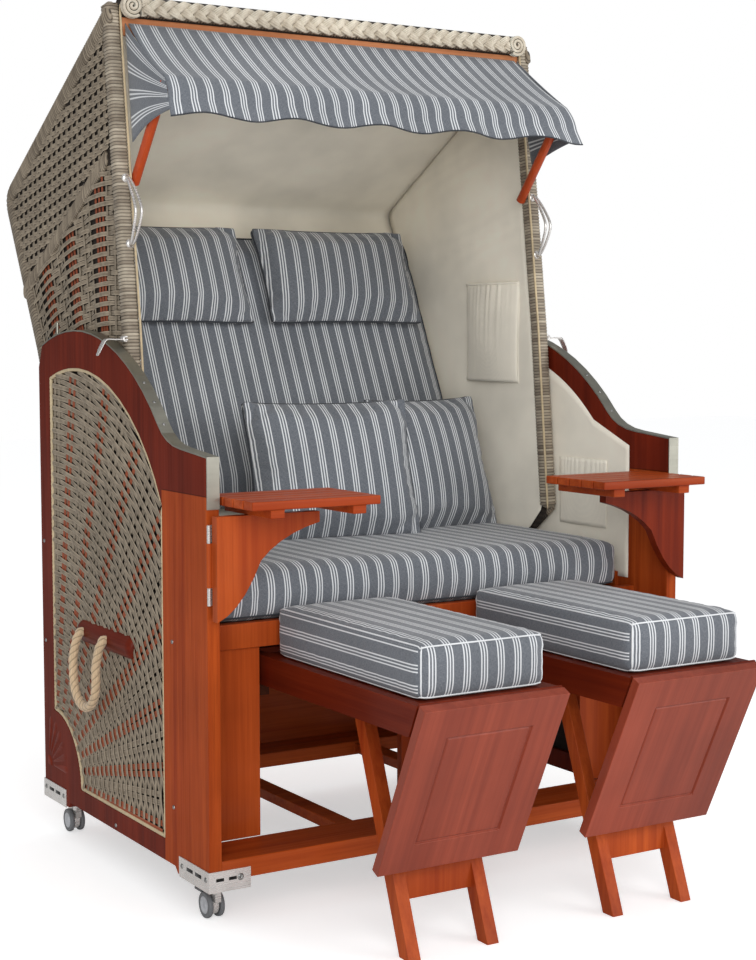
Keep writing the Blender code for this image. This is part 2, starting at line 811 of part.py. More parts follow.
def make_deck():
    half = RAIL_FACE_X - GAP
    front = APRON_Y + APRON_THICKNESS + GAP
    under = APRON_TOP - SLAT
    beam = box(
        "seat_deck", (-half, DECK_BEAM_REAR - DECK_BEAM_DEPTH, DECK_BEAM_LOW),
        (half, DECK_BEAM_REAR, under + OVERRUN / 2),
    )
    pieces = [box("deck_cleat", (-half, front, under - DECK_CLEAT), (half, front + DECK_CLEAT, under + OVERRUN / 2))]
    pitch = (2 * DECK_HALF_WIDTH - SLAT_WIDTH) / (SLAT_COUNT - 1)
    for i in range(SLAT_COUNT):
        x = -DECK_HALF_WIDTH + i * pitch
        pieces.append(box(f"deck_slat_{i + 1}", (x, front, under), (x + SLAT_WIDTH, DECK_BEAM_REAR, APRON_TOP)))
    finish(fuse(beam, *pieces), "inner_wood")


# Corner brackets and castors


def make_corner(label, side, end_label):
    front = end_label == "front"
    corner_y = 0 if front else DEPTH
    inward = 1 if front else -1
    low = FRAME_BOTTOM - PAD_HEIGHT
    face = OUTER_X + GAP

    def span(a, b):
        return sorted((corner_y + inward * a, corner_y + inward * b))

    thick = BRACKET_PLATE + GAP
    wing_y = span(-thick, BRACKET_SIDE_WING)
    base_y = span(-thick, BRACKET_BASE)
    end_y = span(-thick, -GAP)
    top = FRAME_BOTTOM + BRACKET_WING_HEIGHT
    base_low = low - GAP - BRACKET_PLATE
    bracket = mirrored_box(
        f"corner_bracket_{end_label}_{label}", side, OUTER_X - BRACKET_BASE, face + BRACKET_PLATE,
        *base_y, base_low, low - GAP,
    )
    side_wing = mirrored_box(
        f"side_wing_{end_label}_{label}", side, face, face + BRACKET_PLATE, *wing_y, base_low, top
    )
    end_wing = mirrored_box(
        f"end_wing_{end_label}_{label}", side, OUTER_X - BRACKET_FRONT_WING, face + BRACKET_PLATE, *end_y,
        base_low, top,
    )
    finish(fuse(bracket, side_wing, end_wing), "steel")
    return base_low


def make_castor(label, side, end_label, plate_low):
    name = f"{end_label}_{label}"
    x = side * (OUTER_X - CASTOR_INSET)
    y = CASTOR_FRONT_Y if end_label == "front" else CASTOR_REAR_Y
    axle = (x, y + CASTOR_TRAIL, WHEEL_RADIUS)

    housing = cylinder(
        f"castor_body_{name}", (x - HOUSING_HALF, *axle[1:]), (x + HOUSING_HALF, *axle[1:]), HOUSING_RADIUS, 20
    )
    neck = box(
        f"castor_neck_{name}",
        (x - HOUSING_HALF, y - STEM_RADIUS, WHEEL_RADIUS + HOUSING_RADIUS / 2),
        (x + HOUSING_HALF, y + CASTOR_TRAIL + HOUSING_RADIUS - GAP, plate_low - 2 * STEM_RADIUS),
    )
    stem = cylinder(
        f"castor_stem_{name}", (x, y, 2 * WHEEL_RADIUS + PIVOT_PLAY), (x, y, plate_low - GAP), STEM_RADIUS
    )
    bore = cylinder(
        f"castor_bore_{name}", (x - HOUSING_HALF - OVERRUN, *axle[1:]), (x + HOUSING_HALF + OVERRUN, *axle[1:]),
        AXLE_RADIUS + AXLE_PLAY,
    )
    cut(fuse(housing, neck, stem), bore)
    finish(housing, "steel")

    wheel = cylinder(
        f"castor_wheel_{name}", (x - WHEEL_SPACE - OVERRUN, *axle[1:]), (x + WHEEL_SPACE + OVERRUN, *axle[1:]),
        AXLE_RADIUS,
    )
    discs = []
    for disc_label, sign in SIDES:
        discs.append(
            cylinder(
                f"castor_disc_{disc_label}_{name}", (x + sign * WHEEL_SPACE, *axle[1:]),
                (x + sign * (WHEEL_SPACE + WHEEL_WIDTH), *axle[1:]), WHEEL_RADIUS, 32,
            )
        )
    finish(fuse(wheel, *discs), "rubber")

    swivel = empty_at(f"castor_swivel_axis_{name}", (x, y, plate_low))
    carry(swivel, housing)
    spin = empty_at(f"castor_axle_{name}", axle)
    carry(spin, wheel)
    if end_label == "front":
        hinge_y = y + CASTOR_TRAIL + HOUSING_RADIUS
        lever = box(
            f"brake_lever_{label}", (x - BRAKE_HALF_WIDTH, hinge_y, BRAKE_Z),
            (x + BRAKE_HALF_WIDTH, hinge_y + BRAKE_LENGTH, BRAKE_Z + BRAKE_THICKNESS),
        )
        finish(lever, "rubber")
        carry(empty_at(f"brake_axis_{label}", (x, hinge_y, BRAKE_Z)), lever)


# Footrests


def leg_direction():
    """Unit vector from the leg's pivot to its foot."""
    return Vector((LEG_FOOT_Y - LEG_PIVOT_Y, -LEG_PIVOT_Z)).normalized()


def make_footrest(label, side):
    tilt = math.radians(PANEL_TILT_DEG)
    hinge = (FOOTREST_HINGE_Y, FOOTREST_HINGE_Z)
    top = FOOTREST_HINGE_Z
    slant = (top - FOOTREST_RAIL_LOW) * math.tan(tilt)
    outline = [
        hinge,
        (FOOTREST_HINGE_Y + slant, FOOTREST_RAIL_LOW),
        (FOOTREST_RAIL_REAR, FOOTREST_RAIL_LOW),
        (FOOTREST_RAIL_REAR, top),
    ]
    rails = []
    for kind, x in (("outer", FOOTREST_OUTER - FOOTREST_RAIL / 2), ("inner", FOOTREST_INNER + FOOTREST_RAIL / 2)):
        rails.append(
            plate(f"footrest_rail_{kind}_{label}", outline, FOOTREST_RAIL, PLANE_YZ, (side * x, 0, 0))
        )
    span = FOOTREST_RAIL_REAR - FOOTREST_HINGE_Y - FOOTREST_HINGE_RADIUS
    pitch = (span - FOOTREST_SLAT_WIDTH) / (FOOTREST_SLAT_COUNT - 1)
    slats = []
    for i in range(FOOTREST_SLAT_COUNT):
        y = FOOTREST_HINGE_Y + FOOTREST_HINGE_RADIUS + i * pitch
        slats.append(
            mirrored_box(
                f"footrest_slat_{i + 1}_{label}", side, FOOTREST_INNER + OVERRUN, FOOTREST_OUTER - OVERRUN,
                y, y + FOOTREST_SLAT_WIDTH, top - FOOTREST_SLAT, top - GAP,
            )
        )
    pin = cylinder(
        f"footrest_hinge_{label}", (side * (FOOTREST_INNER + OVERRUN / 2), *hinge),
        (side * (FOOTREST_OUTER - OVERRUN / 2), *hinge), FOOTREST_HINGE_RADIUS, 12,
    )
    room = LEG_ROD + LEG_ROD_PLAY
    groove = mirrored_box(
        f"leg_groove_{label}", side, FOOTREST_INNER + FOOTREST_RAIL - LEG_GROOVE,
        FOOTREST_OUTER - FOOTREST_RAIL + LEG_GROOVE, LEG_PIVOT_Y - room,
        LEG_PIVOT_Y + FOOTREST_TRAVEL * LEG_ROD_TRAVEL_SHARE + room, LEG_PIVOT_Z - room, LEG_PIVOT_Z + room,
    )
    frame = rails[0]
    cut(fuse(frame, rails[1], *slats, pin), groove)
    frame.name = f"footrest_frame_{label}"
    finish(frame, "red_wood")

    off = FOOTREST_HINGE_RADIUS + 2 * GAP
    panel = mirrored_box(
        f"footrest_panel_{label}", side, FOOTREST_INNER, FOOTREST_OUTER, -off - PANEL_THICKNESS, -off,
        -PANEL_LENGTH, FOOTREST_HINGE_RADIUS,
    )
    place(panel, Matrix.Translation((0, *hinge)) @ Matrix.Rotation(tilt, 4, "X"))
    finish(panel, "red_wood")

    down = leg_direction()
    across = Vector((-down.y, down.x))
    pivot = Vector((LEG_PIVOT_Y, LEG_PIVOT_Z))
    half = LEG_DEPTH / 2
    head = pivot - down * half
    corners = [head + across * half, head - across * half]
    feet = [corner + down * (corner.y / -down.y) for corner in corners[::-1]]
    leg_outline = [tuple(p) for p in corners + feet]
    legs = []
    for kind, x in (("outer", LEG_OUTER - LEG_WIDTH / 2), ("inner", LEG_INNER + LEG_WIDTH / 2)):
        legs.append(plate(f"footrest_leg_{kind}_{label}", leg_outline, LEG_WIDTH, PLANE_YZ, (side * x, 0, 0)))
    bar_y = LEG_PIVOT_Y + down.x * (LEG_PIVOT_Z - (LEG_BAR_LOW + LEG_BAR_HIGH) / 2) / -down.y
    bar = mirrored_box(
        f"leg_bar_{label}", side, LEG_INNER + OVERRUN, LEG_OUTER - OVERRUN,
        bar_y - LEG_BAR_THICKNESS / 2, bar_y + LEG_BAR_THICKNESS / 2, LEG_BAR_LOW, LEG_BAR_HIGH,
    )
    bore = cylinder(
        f"leg_bore_{label}", (side * (LEG_INNER - OVERRUN), *pivot), (side * (LEG_OUTER + OVERRUN), *pivot),
        LEG_ROD + PIVOT_PLAY,
    )
    groove_end = FOOTREST_RAIL - LEG_GROOVE + LEG_ROD_PLAY
    rod = cylinder(
        f"footrest_rod_{label}", (side * (FOOTREST_INNER + groove_end), *pivot),
        (side * (FOOTREST_OUTER - groove_end), *pivot), LEG_ROD,
    )
    finish(rod, "steel")
    stand = legs[0]
    cut(fuse(stand, legs[1], bar), bore)
    stand.name = f"footrest_legs_{label}"
    finish(stand, "red_wood")

    width = FOOT_CUSHION_OUTER - FOOT_CUSHION_INNER
    length = FOOT_CUSHION_REAR - FOOT_CUSHION_FRONT
    cushion = soft_form(
        f"footrest_cushion_{label}", (width, length, FOOT_CUSHION_HEIGHT), SEAM, 0.04, 0.015, 0.90
    )
    middle = (FOOT_CUSHION_OUTER + FOOT_CUSHION_INNER) / 2
    place(cushion, Matrix.Translation((side * middle, (FOOT_CUSHION_FRONT + FOOT_CUSHION_REAR) / 2, top)))
    rest_on(cushion, UP, top)
    finish(cushion, "striped_cloth")
    middle = side * (FOOTREST_OUTER + FOOTREST_INNER) / 2
    carry(empty_at(f"footrest_slide_{label}", (middle, FOOTREST_RAIL_REAR, FOOTREST_RAIL_LOW)), frame, cushion)
    carry(empty_at(f"panel_axis_{label}", (middle, *hinge)), panel)
    carry(empty_at(f"leg_axis_{label}", (middle, *pivot)), stand, rod)


# Side tables


def make_table(label, side):
    axis_x = OUTER_X - HINGE_ROD_INSET
    rod = cylinder(
        f"table_hinge_{label}", (side * axis_x, HINGE_ROD_Y, HINGE_LOW), (side * axis_x, HINGE_ROD_Y, HINGE_HIGH),
        HINGE_ROD, 12,
    )
    leaves = []
    for kind, low in (("lower", HINGE_LOW), ("upper", HINGE_HIGH - HINGE_LEAF_HEIGHT)):
        leaves.append(
            mirrored_box(
                f"hinge_leaf_{kind}_{label}", side, axis_x - HINGE_LEAF_WIDTH, axis_x,
                -GAP - HINGE_LEAF, -GAP, low, low + HINGE_LEAF_HEIGHT,
            )
        )
    finish(fuse(rod, *leaves), "steel")

    shelf_low = TABLE_TOP_Z - TABLE_SLAT
    top_edge_z = shelf_low - TABLE_BATTEN - GAP
    near = axis_x - HINGE_ROD - 3 * GAP
    low = top_edge_z - BRACKET_HEIGHT
    shoulder = (near - BRACKET_REACH * 0.42, low + BRACKET_HEIGHT * 0.56)
    tip = (near - BRACKET_REACH, top_edge_z - BRACKET_TIP)
    outline = [(near, top_edge_z), (near, low)]
    outline += bend((near, low), (near - BRACKET_REACH * 0.24, low + BRACKET_HEIGHT * 0.10), shoulder, 5)
    outline += bend(shoulder, (near - BRACKET_REACH * 0.62, low + BRACKET_HEIGHT * 0.80), tip, 5)
    outline += [(near - BRACKET_REACH, top_edge_z)]
    board_y = -BRACKET_SETBACK - BRACKET_THICKNESS / 2
    bracket = plate(
        f"table_bracket_{label}", [(side * x, z) for x, z in outline][::-side], BRACKET_THICKNESS, PLANE_XZ,
        (0, board_y, 0),
    )
    sleeve_low = HINGE_LOW + HINGE_LEAF_HEIGHT + GAP
    sleeve_high = HINGE_HIGH - HINGE_LEAF_HEIGHT - GAP
    sleeve = cylinder(
        f"table_sleeve_{label}", (side * axis_x, HINGE_ROD_Y, sleeve_low), (side * axis_x, HINGE_ROD_Y, sleeve_high),
        HINGE_ROD + SLEEVE_WALL, 16,
    )
    wing = mirrored_box(
        f"table_wing_{label}", side, axis_x - HINGE_LEAF_WIDTH, axis_x - HINGE_ROD - GAP,
        -BRACKET_SETBACK - OVERRUN / 2, HINGE_ROD_Y + HINGE_LEAF, sleeve_low, sleeve_high,
    )
    bore = cylinder(
        f"table_bore_{label}", (side * axis_x, HINGE_ROD_Y, HINGE_LOW - OVERRUN),
        (side * axis_x, HINGE_ROD_Y, HINGE_HIGH + OVERRUN), HINGE_ROD + GAP, 12,
    )
    cut(fuse(bracket, sleeve, wing), bore)
    finish(bracket, "red_wood")

    far = INNER_X - TABLE_SIDE_CLEARANCE
    pitch = (TABLE_REAR - TABLE_FRONT + TABLE_SLAT_GAP) / TABLE_SLAT_COUNT
    shelf = []
    for i in range(TABLE_SLAT_COUNT):
        y = TABLE_FRONT + i * pitch
        shelf.append(
            mirrored_box(
                f"table_slat_{i + 1}_{label}", side, far - TABLE_LENGTH, far, y, y + pitch - TABLE_SLAT_GAP,
                shelf_low, TABLE_TOP_Z,
            )
        )
    for i, share in enumerate((0.16, 0.80)):
        x = far - TABLE_LENGTH * (1 - share) - TABLE_BATTEN_WIDTH / 2
        shelf.append(
            mirrored_box(
                f"table_batten_{i + 1}_{label}", side, x, x + TABLE_BATTEN_WIDTH,
                TABLE_FRONT + TABLE_SLAT_GAP, TABLE_REAR - TABLE_SLAT_GAP,
                shelf_low - TABLE_BATTEN, shelf_low + TABLE_SLAT_GAP,
            )
        )
    table = shelf[0]
    fuse(table, *shelf[1:][::-1])
    table.name = f"table_top_{label}"
    finish(table, "dark_wood")
    carry(empty_at(f"table_axis_{label}", (side * axis_x, HINGE_ROD_Y, TABLE_TOP_Z)), bracket, table)


# Hood


def hood_path():
    """The outside of the roof and back, from the front edge over the shoulder to the heel."""
    front = (POST_HEAD_Y, POST_HEAD_Z)
    shoulder, knee, heel = (SHOULDER_Y, SHOULDER_Z), (KNEE_Y, KNEE_Z), (HEEL_Y, HEEL_Z)
    corner = rounded(shoulder, front, knee, SHOULDER_RADIUS, 4)
    return front, corner, knee, heel


def post_edge():
    return [(POST_FOOT_Y, POST_FOOT_Z), (POST_MID_Y, POST_MID_Z), (POST_HEAD_Y, POST_HEAD_Z)]


def cross_line(a, b, c, d):
    """Where the line through a and b meets the line through c and d."""
    a, b, c, d = (Vector(p) for p in (a, b, c, d))
    first, second = b - a, d - c
    share = (c - a).cross(second) / first.cross(second)
    return tuple(a + first * share)


def sheet_outline(path, outer, inner, cut_line):
    """A sheet along the path, between two offsets, whose first end lies on the cut line."""
    sides = []
    for distance in (outer, inner):
        line = offset_path(path, distance)
        sides.append([cross_line(*cut_line, line[0], line[1])] + line[1:])
    return sides[0] + sides[1][::-1]


def make_hood_shell():
    front, corner, knee, heel = hood_path()
    whole = [front] + corner + [knee, heel]
    post_back = offset_path(post_edge(), -HOOD_POST_DEPTH)
    post_line = offset_path(post_edge(), -HOOD_POST_DEPTH - GAP)
    upper_post = post_line[1:]
    shell = plate(
        "hood_shell", sheet_outline(whole, 0, -HOOD_SKIN, upper_post), 2 * HOOD_HALF_WIDTH, PLANE_YZ, (0, 0, 0)
    )
    inside = HOOD_HALF_WIDTH - HOOD_POST_WIDTH - GAP
    lip_y = POST_HEAD_Y + BEAM_DEPTH + 2 * GAP
    lip_end = along(front, corner[0], LIP_LENGTH / (Vector(corner[0]) - Vector(front)).length)
    lip = plate(
        "roof_lip",
        sheet_outline([front, lip_end], -GAP, GAP - HOOD_SKIN, [(lip_y, POST_FOOT_Z), (lip_y, POST_HEAD_Z)]),
        2 * inside, PLANE_YZ, (0, 0, 0),
    )
    roll = cylinder(
        "front_roll", (GAP - inside, BRAID_Y, BRAID_Z), (inside - GAP, BRAID_Y, BRAID_Z), BRAID_RADIUS, 12
    )
    finish(fuse(shell, lip, roll), "wicker")

    sheet = sheet_outline(whole, -HOOD_SKIN - GAP, -HOOD_SKIN - GAP - LINING, upper_post)
    lining = plate("hood_lining", sheet, 2 * (HOOD_HALF_WIDTH - HOOD_SIDE - GAP), PLANE_YZ, (0, 0, 0))
    finish(lining, "lining")

    inner = offset_path(whole, -HOOD_SKIN - GAP)
    top_front = cross_line(*upper_post, inner[0], inner[1])
    foot = cross_line(post_line[0], post_line[1], (POST_FOOT_Y, POST_FOOT_Z), (SILL_Y, SILL_Z))
    boss = arc(PIVOT_Y, PIVOT_Z, BOSS_RADIUS, 240, 345, 6)
    outline = [foot, post_line[1], top_front] + inner[1:] + boss[::-1] + [(SILL_Y, SILL_Z)]
    hole = arc(PIVOT_Y, PIVOT_Z, PIVOT_BOLT + PIVOT_PLAY, 0, 337.5, 15)
    for label, side in SIDES:
        panel = plate(
            f"hood_side_{label}", outline, HOOD_SIDE, PLANE_YZ,
            (side * (HOOD_HALF_WIDTH - HOOD_SIDE / 2), 0, 0), [hole],
        )
        finish(panel, "wicker")
    return post_back


def make_hood_front(post_back):
    edge = post_edge()
    sill_foot = cross_line(post_back[0], post_back[1], (POST_FOOT_Y, POST_FOOT_Z), (SILL_Y, SILL_Z))
    outline = edge + post_back[:0:-1] + [sill_foot]
    posts = []
    for label, side in SIDES:
        posts.append(
            plate(
                f"hood_post_{label}", outline, HOOD_POST_WIDTH, PLANE_YZ,
                (side * (HOOD_HALF_WIDTH - HOOD_POST_WIDTH / 2), 0, 0),
            )
        )
    reach = HOOD_HALF_WIDTH - HOOD_POST_WIDTH + OVERRUN
    beam_y = POST_HEAD_Y + GAP
    beam = box(
        "hood_beam", (-reach, beam_y - OVERRUN / 2, BEAM_LOW), (reach, beam_y + BEAM_DEPTH, BEAM_LOW + BEAM_HEIGHT)
    )
    frame = posts[0]
    fuse(frame, posts[1], beam)
    frame.name = "hood_front_frame"
    finish(frame, "wicker")


def make_awning():
    reach = ARM_X + ARM_RADIUS / 2
    rod = cylinder(
        "awning_frame", (-reach, AWNING_ROD_Y, AWNING_ROD_Z), (reach, AWNING_ROD_Y, AWNING_ROD_Z), AWNING_ROD, 12
    )
    pieces = []
    for label, side in SIDES:
        foot = (side * ARM_X, ARM_PIVOT_Y, ARM_PIVOT_Z)
        pieces.append(
            cylinder(f"awning_arm_{label}", foot, (side * ARM_X, AWNING_ROD_Y, AWNING_ROD_Z), ARM_RADIUS, 12)
        )
        pieces.append(
            cylinder(
                f"awning_pin_{label}", (side * ARM_X, ARM_PIVOT_Y, ARM_PIVOT_Z),
                (side * (HOOD_HALF_WIDTH - HOOD_POST_WIDTH - GAP), ARM_PIVOT_Y, ARM_PIVOT_Z), AWNING_PIN, 10,
            )
        )
    finish(fuse(rod, *pieces), "arm_wood")
    carry(empty_at("awning_axis", (0, ARM_PIVOT_Y, ARM_PIVOT_Z)), rod)

    fold = (AWNING_ROD_Y - AWNING_FOLD_SHARE * AWNING_ROD, AWNING_ROD_Z + AWNING_FOLD_SHARE * AWNING_ROD)
    beam = (AWNING_BEAM_Y - CLOTH, AWNING_BEAM_Z)
    rows = []
    for share in (0, 0.34, 0.67):
        y, z = along(beam, fold, share)
        rows.append((y, z - AWNING_SAG * 4 * share * (1 - share), AWNING_TOP_HALF, 0))
    rows.append((*fold, AWNING_TOP_HALF, 0))
    for share in (0.12, 0.55, 1):
        start = (fold[0] - CLOTH, fold[1] - CLOTH)
        y, z = along(start, (VALANCE_Y, VALANCE_Z), share)
        rows.append((y, z, AWNING_TOP_HALF + (AWNING_FOOT_HALF - AWNING_TOP_HALF) * share, share))
    columns = 2 * VALANCE_FOLDS * 2
    bm = bmesh.new()
    bmesh.ops.create_grid(bm, x_segments=columns, y_segments=len(rows) - 1, size=1)
    bm.verts.ensure_lookup_table()
    for vert in bm.verts:
        row = round((vert.co.y + 1) / 2 * (len(rows) - 1))
        y, z, half, loose = rows[row]
        ripple = loose * VALANCE_RIPPLE * math.cos(vert.co.x * VALANCE_FOLDS * math.pi)
        vert.co = (vert.co.x * half, y + ripple, z)
    cloth = link_mesh("awning_cloth", bm)
    solidify = cloth.modifiers.new("Solidify", "SOLIDIFY")
    solidify.thickness = CLOTH
    solidify.offset = 0
    cloth.data.shade_smooth()
    finish(cloth, "striped_cloth")


def post_face(z):
    """Where the hood post's front face lies at a height above the knee of the post."""
    share = (z - POST_MID_Z) / (POST_HEAD_Z - POST_MID_Z)
    return POST_MID_Y + (POST_HEAD_Y - POST_MID_Y) * share


def make_grab_handle(label, side):
    x = side * (HOOD_HALF_WIDTH - HOOD_POST_WIDTH / 2)
    points = []
    steps = 12
    for i in range(steps + 1):
        share = i / steps
        z = GRAB_LOW + (GRAB_HIGH - GRAB_LOW) * (share + 0.06 * math.sin(2 * math.pi * share))
        reach = GRAB_REACH * math.sin(math.pi * share) ** 0.7
        points.append((x, post_face(z) - GRAB_RADIUS * GRAB_FOOT_SHARE - reach, z))
    finish(tube(f"grab_handle_{label}", points, GRAB_RADIUS, 2), "steel")


def make_latch(label, side):
    start = HOOD_HALF_WIDTH + GAP
    strap = LATCH_STRAP / 2
    path = [
        (start, LATCH_Z), (start + LATCH_REACH, LATCH_Z), (start + LATCH_REACH + LATCH_FLARE, LATCH_Z - LATCH_DROP)
    ]
    outline = [(side * x, z) for x, z in band(path, -strap, strap)]
    lever = plate(
        f"latch_lever_{label}", outline if side < 0 else outline[::-1], LATCH_WIDTH, PLANE_XZ, (0, LATCH_Y, 0)
    )
    eye = cylinder(
        f"latch_eye_{label}", (side * (start + LATCH_EYE), LATCH_Y - LATCH_WIDTH / 2, LATCH_Z),
        (side * (start + LATCH_EYE), LATCH_Y + LATCH_WIDTH / 2, LATCH_Z), LATCH_EYE - GAP, 12,
    )
    finish(fuse(lever, eye), "steel")
    carry(empty_at(f"latch_axis_{label}", (side * (start + LATCH_EYE), LATCH_Y, LATCH_Z)), lever)


# Loose and fixed cushions


def make_cushions():
    length = SEAT_CUSHION_REAR - SEAT_CUSHION_FRONT
    seat = soft_form(
        "seat_cushion", (2 * SEAT_CUSHION_HALF, length, SEAT_CUSHION_HEIGHT), SOFT_EDGE, 0.12, 0.012, 0.78
    )
    place(seat, Matrix.Translation((0, (SEAT_CUSHION_FRONT + SEAT_CUSHION_REAR) / 2, APRON_TOP)))
    rest_on(seat, UP, APRON_TOP + GAP)
    finish(seat, "striped_cloth")

    tilt = math.radians(BACK_TILT_DEG)
    lift = Vector((0, math.sin(tilt), math.cos(tilt)))
    ahead = Vector((0, -math.cos(tilt), math.sin(tilt)))
    front, corner, knee, heel = hood_path()
    inner_knee = offset_path([corner[-1], knee, heel], -HOOD_SKIN - GAP - LINING)[1]
    upright = Matrix.Rotation(math.radians(90) - tilt, 4, "X")
    back = soft_form("back_cushion", (BACK_WIDTH, BACK_LENGTH, BACK_THICKNESS), SOFT_EDGE, 0.25, 0.012, 0.55)
    place(back, Matrix.Translation((0, BACK_Y, BACK_Z)) @ upright)
    rest_on(back, ahead, Vector((0, *inner_knee)).dot(ahead) - BACK_PRESS)
    finish(back, "striped_cloth")
    back_face = max(point.dot(ahead) for point in points_of(back))

    for label, x, press in (("left", HEAD_LEFT_X, HEAD_LEFT_PRESS), ("right", HEAD_RIGHT_X, HEAD_RIGHT_PRESS)):
        pillow = soft_form(
            f"head_pillow_{label}", (HEAD_WIDTH, HEAD_LENGTH, HEAD_THICKNESS), PILLOW_EDGE, 0.55, 0.05, 0.22
        )
        place(pillow, Matrix.Translation(Vector((x, BACK_Y, BACK_Z)) + lift * HEAD_RISE) @ upright)
        rest_on(pillow, ahead, back_face - press)
        finish(pillow, "striped_cloth")

    seat_top = max(point.dot(UP) for point in points_of(seat))
    lean = Matrix.Rotation(math.radians(90 - THROW_TILT_DEG), 4, "X")
    for label, x, y, width, yaw, press in (
        ("left", THROW_LEFT_X, THROW_LEFT_Y, THROW_WIDTH, THROW_LEFT_YAW_DEG, THROW_LEFT_PRESS),
        ("right", THROW_RIGHT_X, THROW_RIGHT_Y, THROW_RIGHT_WIDTH, THROW_RIGHT_YAW_DEG, THROW_RIGHT_PRESS),
    ):
        pillow = soft_form(
            f"throw_pillow_{label}", (width, THROW_HEIGHT, THROW_THICKNESS), PILLOW_EDGE, 0.62, 0.07, 0.18
        )
        turn = Matrix.Rotation(math.radians(yaw), 4, "Z")
        place(pillow, Matrix.Translation((x, y, THROW_Z)) @ turn @ lean)
        rest_on(pillow, UP, seat_top - press)
        finish(pillow, "striped_cloth")


def centre_on_origin():
    """Moves everything along Y so that the origin is under the middle of the overall size."""
    along_y = [point.y for obj in PARTS.objects if obj.type == "MESH" for point in points_of(obj)]
    middle = (min(along_y) + max(along_y)) / 2
    for obj in (*PARTS.objects, *CUTTERS.objects):
        if not obj.parent:
            obj.location.y -= middle


def build():
    for label, side in SIDES:
        make_side(label, side)
    make_ropes()
    make_floor()
    make_front()
    make_guides()
    make_deck()
    for label, side in SIDES:
        for end_label in ("front", "rear"):
            plate_low = make_corner(label, side, end_label)
            make_castor(label, side, end_label, plate_low)
        make_footrest(label, side)
        make_table(label, side)
        make_grab_handle(label, side)
        make_latch(label, side)
    make_hood_front(make_hood_shell())
    make_awning()
    make_cushions()
    hood = [
        bpy.data.objects[name]
        for name in (
            "hood_side_left", "hood_side_right", "hood_front_frame", "hood_shell", "hood_lining",
            "back_cushion", "head_pillow_left", "head_pillow_right", "grab_handle_left", "grab_handle_right",
        )
    ]
    carry(empty_at("hood_axis", (0, PIVOT_Y, PIVOT_Z)), *hood)
    throw = [bpy.data.objects["throw_pillow_left"], bpy.data.objects["throw_pillow_right"]]
    carry(empty_at("throw_pillow_rest", (0, THROW_LEFT_Y, THROW_Z)), *throw)
    centre_on_origin()


build()
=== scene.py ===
"""Hooded beach chair for two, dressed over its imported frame."""

import math

import bmesh
import bpy
from bpy.props import FloatProperty, FloatVectorProperty, PointerProperty
from mathutils import Matrix, Vector
from mathutils.bvhtree import BVHTree


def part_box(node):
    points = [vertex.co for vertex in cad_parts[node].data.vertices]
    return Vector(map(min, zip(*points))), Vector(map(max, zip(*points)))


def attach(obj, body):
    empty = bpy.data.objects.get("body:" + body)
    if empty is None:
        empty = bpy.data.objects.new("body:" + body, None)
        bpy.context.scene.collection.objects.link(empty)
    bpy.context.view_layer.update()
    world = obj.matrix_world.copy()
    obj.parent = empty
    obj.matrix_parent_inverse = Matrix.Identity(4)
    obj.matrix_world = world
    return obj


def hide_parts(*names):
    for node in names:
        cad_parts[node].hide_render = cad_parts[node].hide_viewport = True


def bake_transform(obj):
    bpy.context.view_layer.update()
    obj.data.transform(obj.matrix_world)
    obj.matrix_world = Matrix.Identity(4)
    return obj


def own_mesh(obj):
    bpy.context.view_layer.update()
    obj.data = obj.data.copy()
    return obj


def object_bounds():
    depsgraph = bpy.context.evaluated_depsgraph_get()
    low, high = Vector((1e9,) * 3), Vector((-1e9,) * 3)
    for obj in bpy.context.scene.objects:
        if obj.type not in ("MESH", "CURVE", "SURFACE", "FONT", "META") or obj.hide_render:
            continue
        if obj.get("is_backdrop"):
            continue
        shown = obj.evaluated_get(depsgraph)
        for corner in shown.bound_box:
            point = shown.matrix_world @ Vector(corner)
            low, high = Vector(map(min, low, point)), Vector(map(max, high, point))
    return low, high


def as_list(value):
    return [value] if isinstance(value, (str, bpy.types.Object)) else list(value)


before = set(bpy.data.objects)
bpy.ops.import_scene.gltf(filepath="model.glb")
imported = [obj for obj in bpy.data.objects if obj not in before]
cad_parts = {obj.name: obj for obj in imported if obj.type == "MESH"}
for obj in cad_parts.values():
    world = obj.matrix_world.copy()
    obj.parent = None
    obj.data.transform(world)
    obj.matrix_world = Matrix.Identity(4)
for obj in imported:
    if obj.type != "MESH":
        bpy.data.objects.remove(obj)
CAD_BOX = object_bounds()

bl_info = {
    "name": "Hooded beach chair",
    "version": (1, 0, 0),
    "blender": (4, 5, 0),
    "location": "3D View > Sidebar > Beach chair",
    "description": "Dresses the beach chair's frame with wood, reed, cloth, rope and steel",
    "category": "Object",
}

SIDES = (("left", -1), ("right", 1))
ENDS = ("front", "rear")
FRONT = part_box("side_frame_left")[0][1]
X_AXIS = Vector((1, 0, 0))
Y_AXIS = Vector((0, 1, 0))
Z_AXIS = Vector((0, 0, 1))

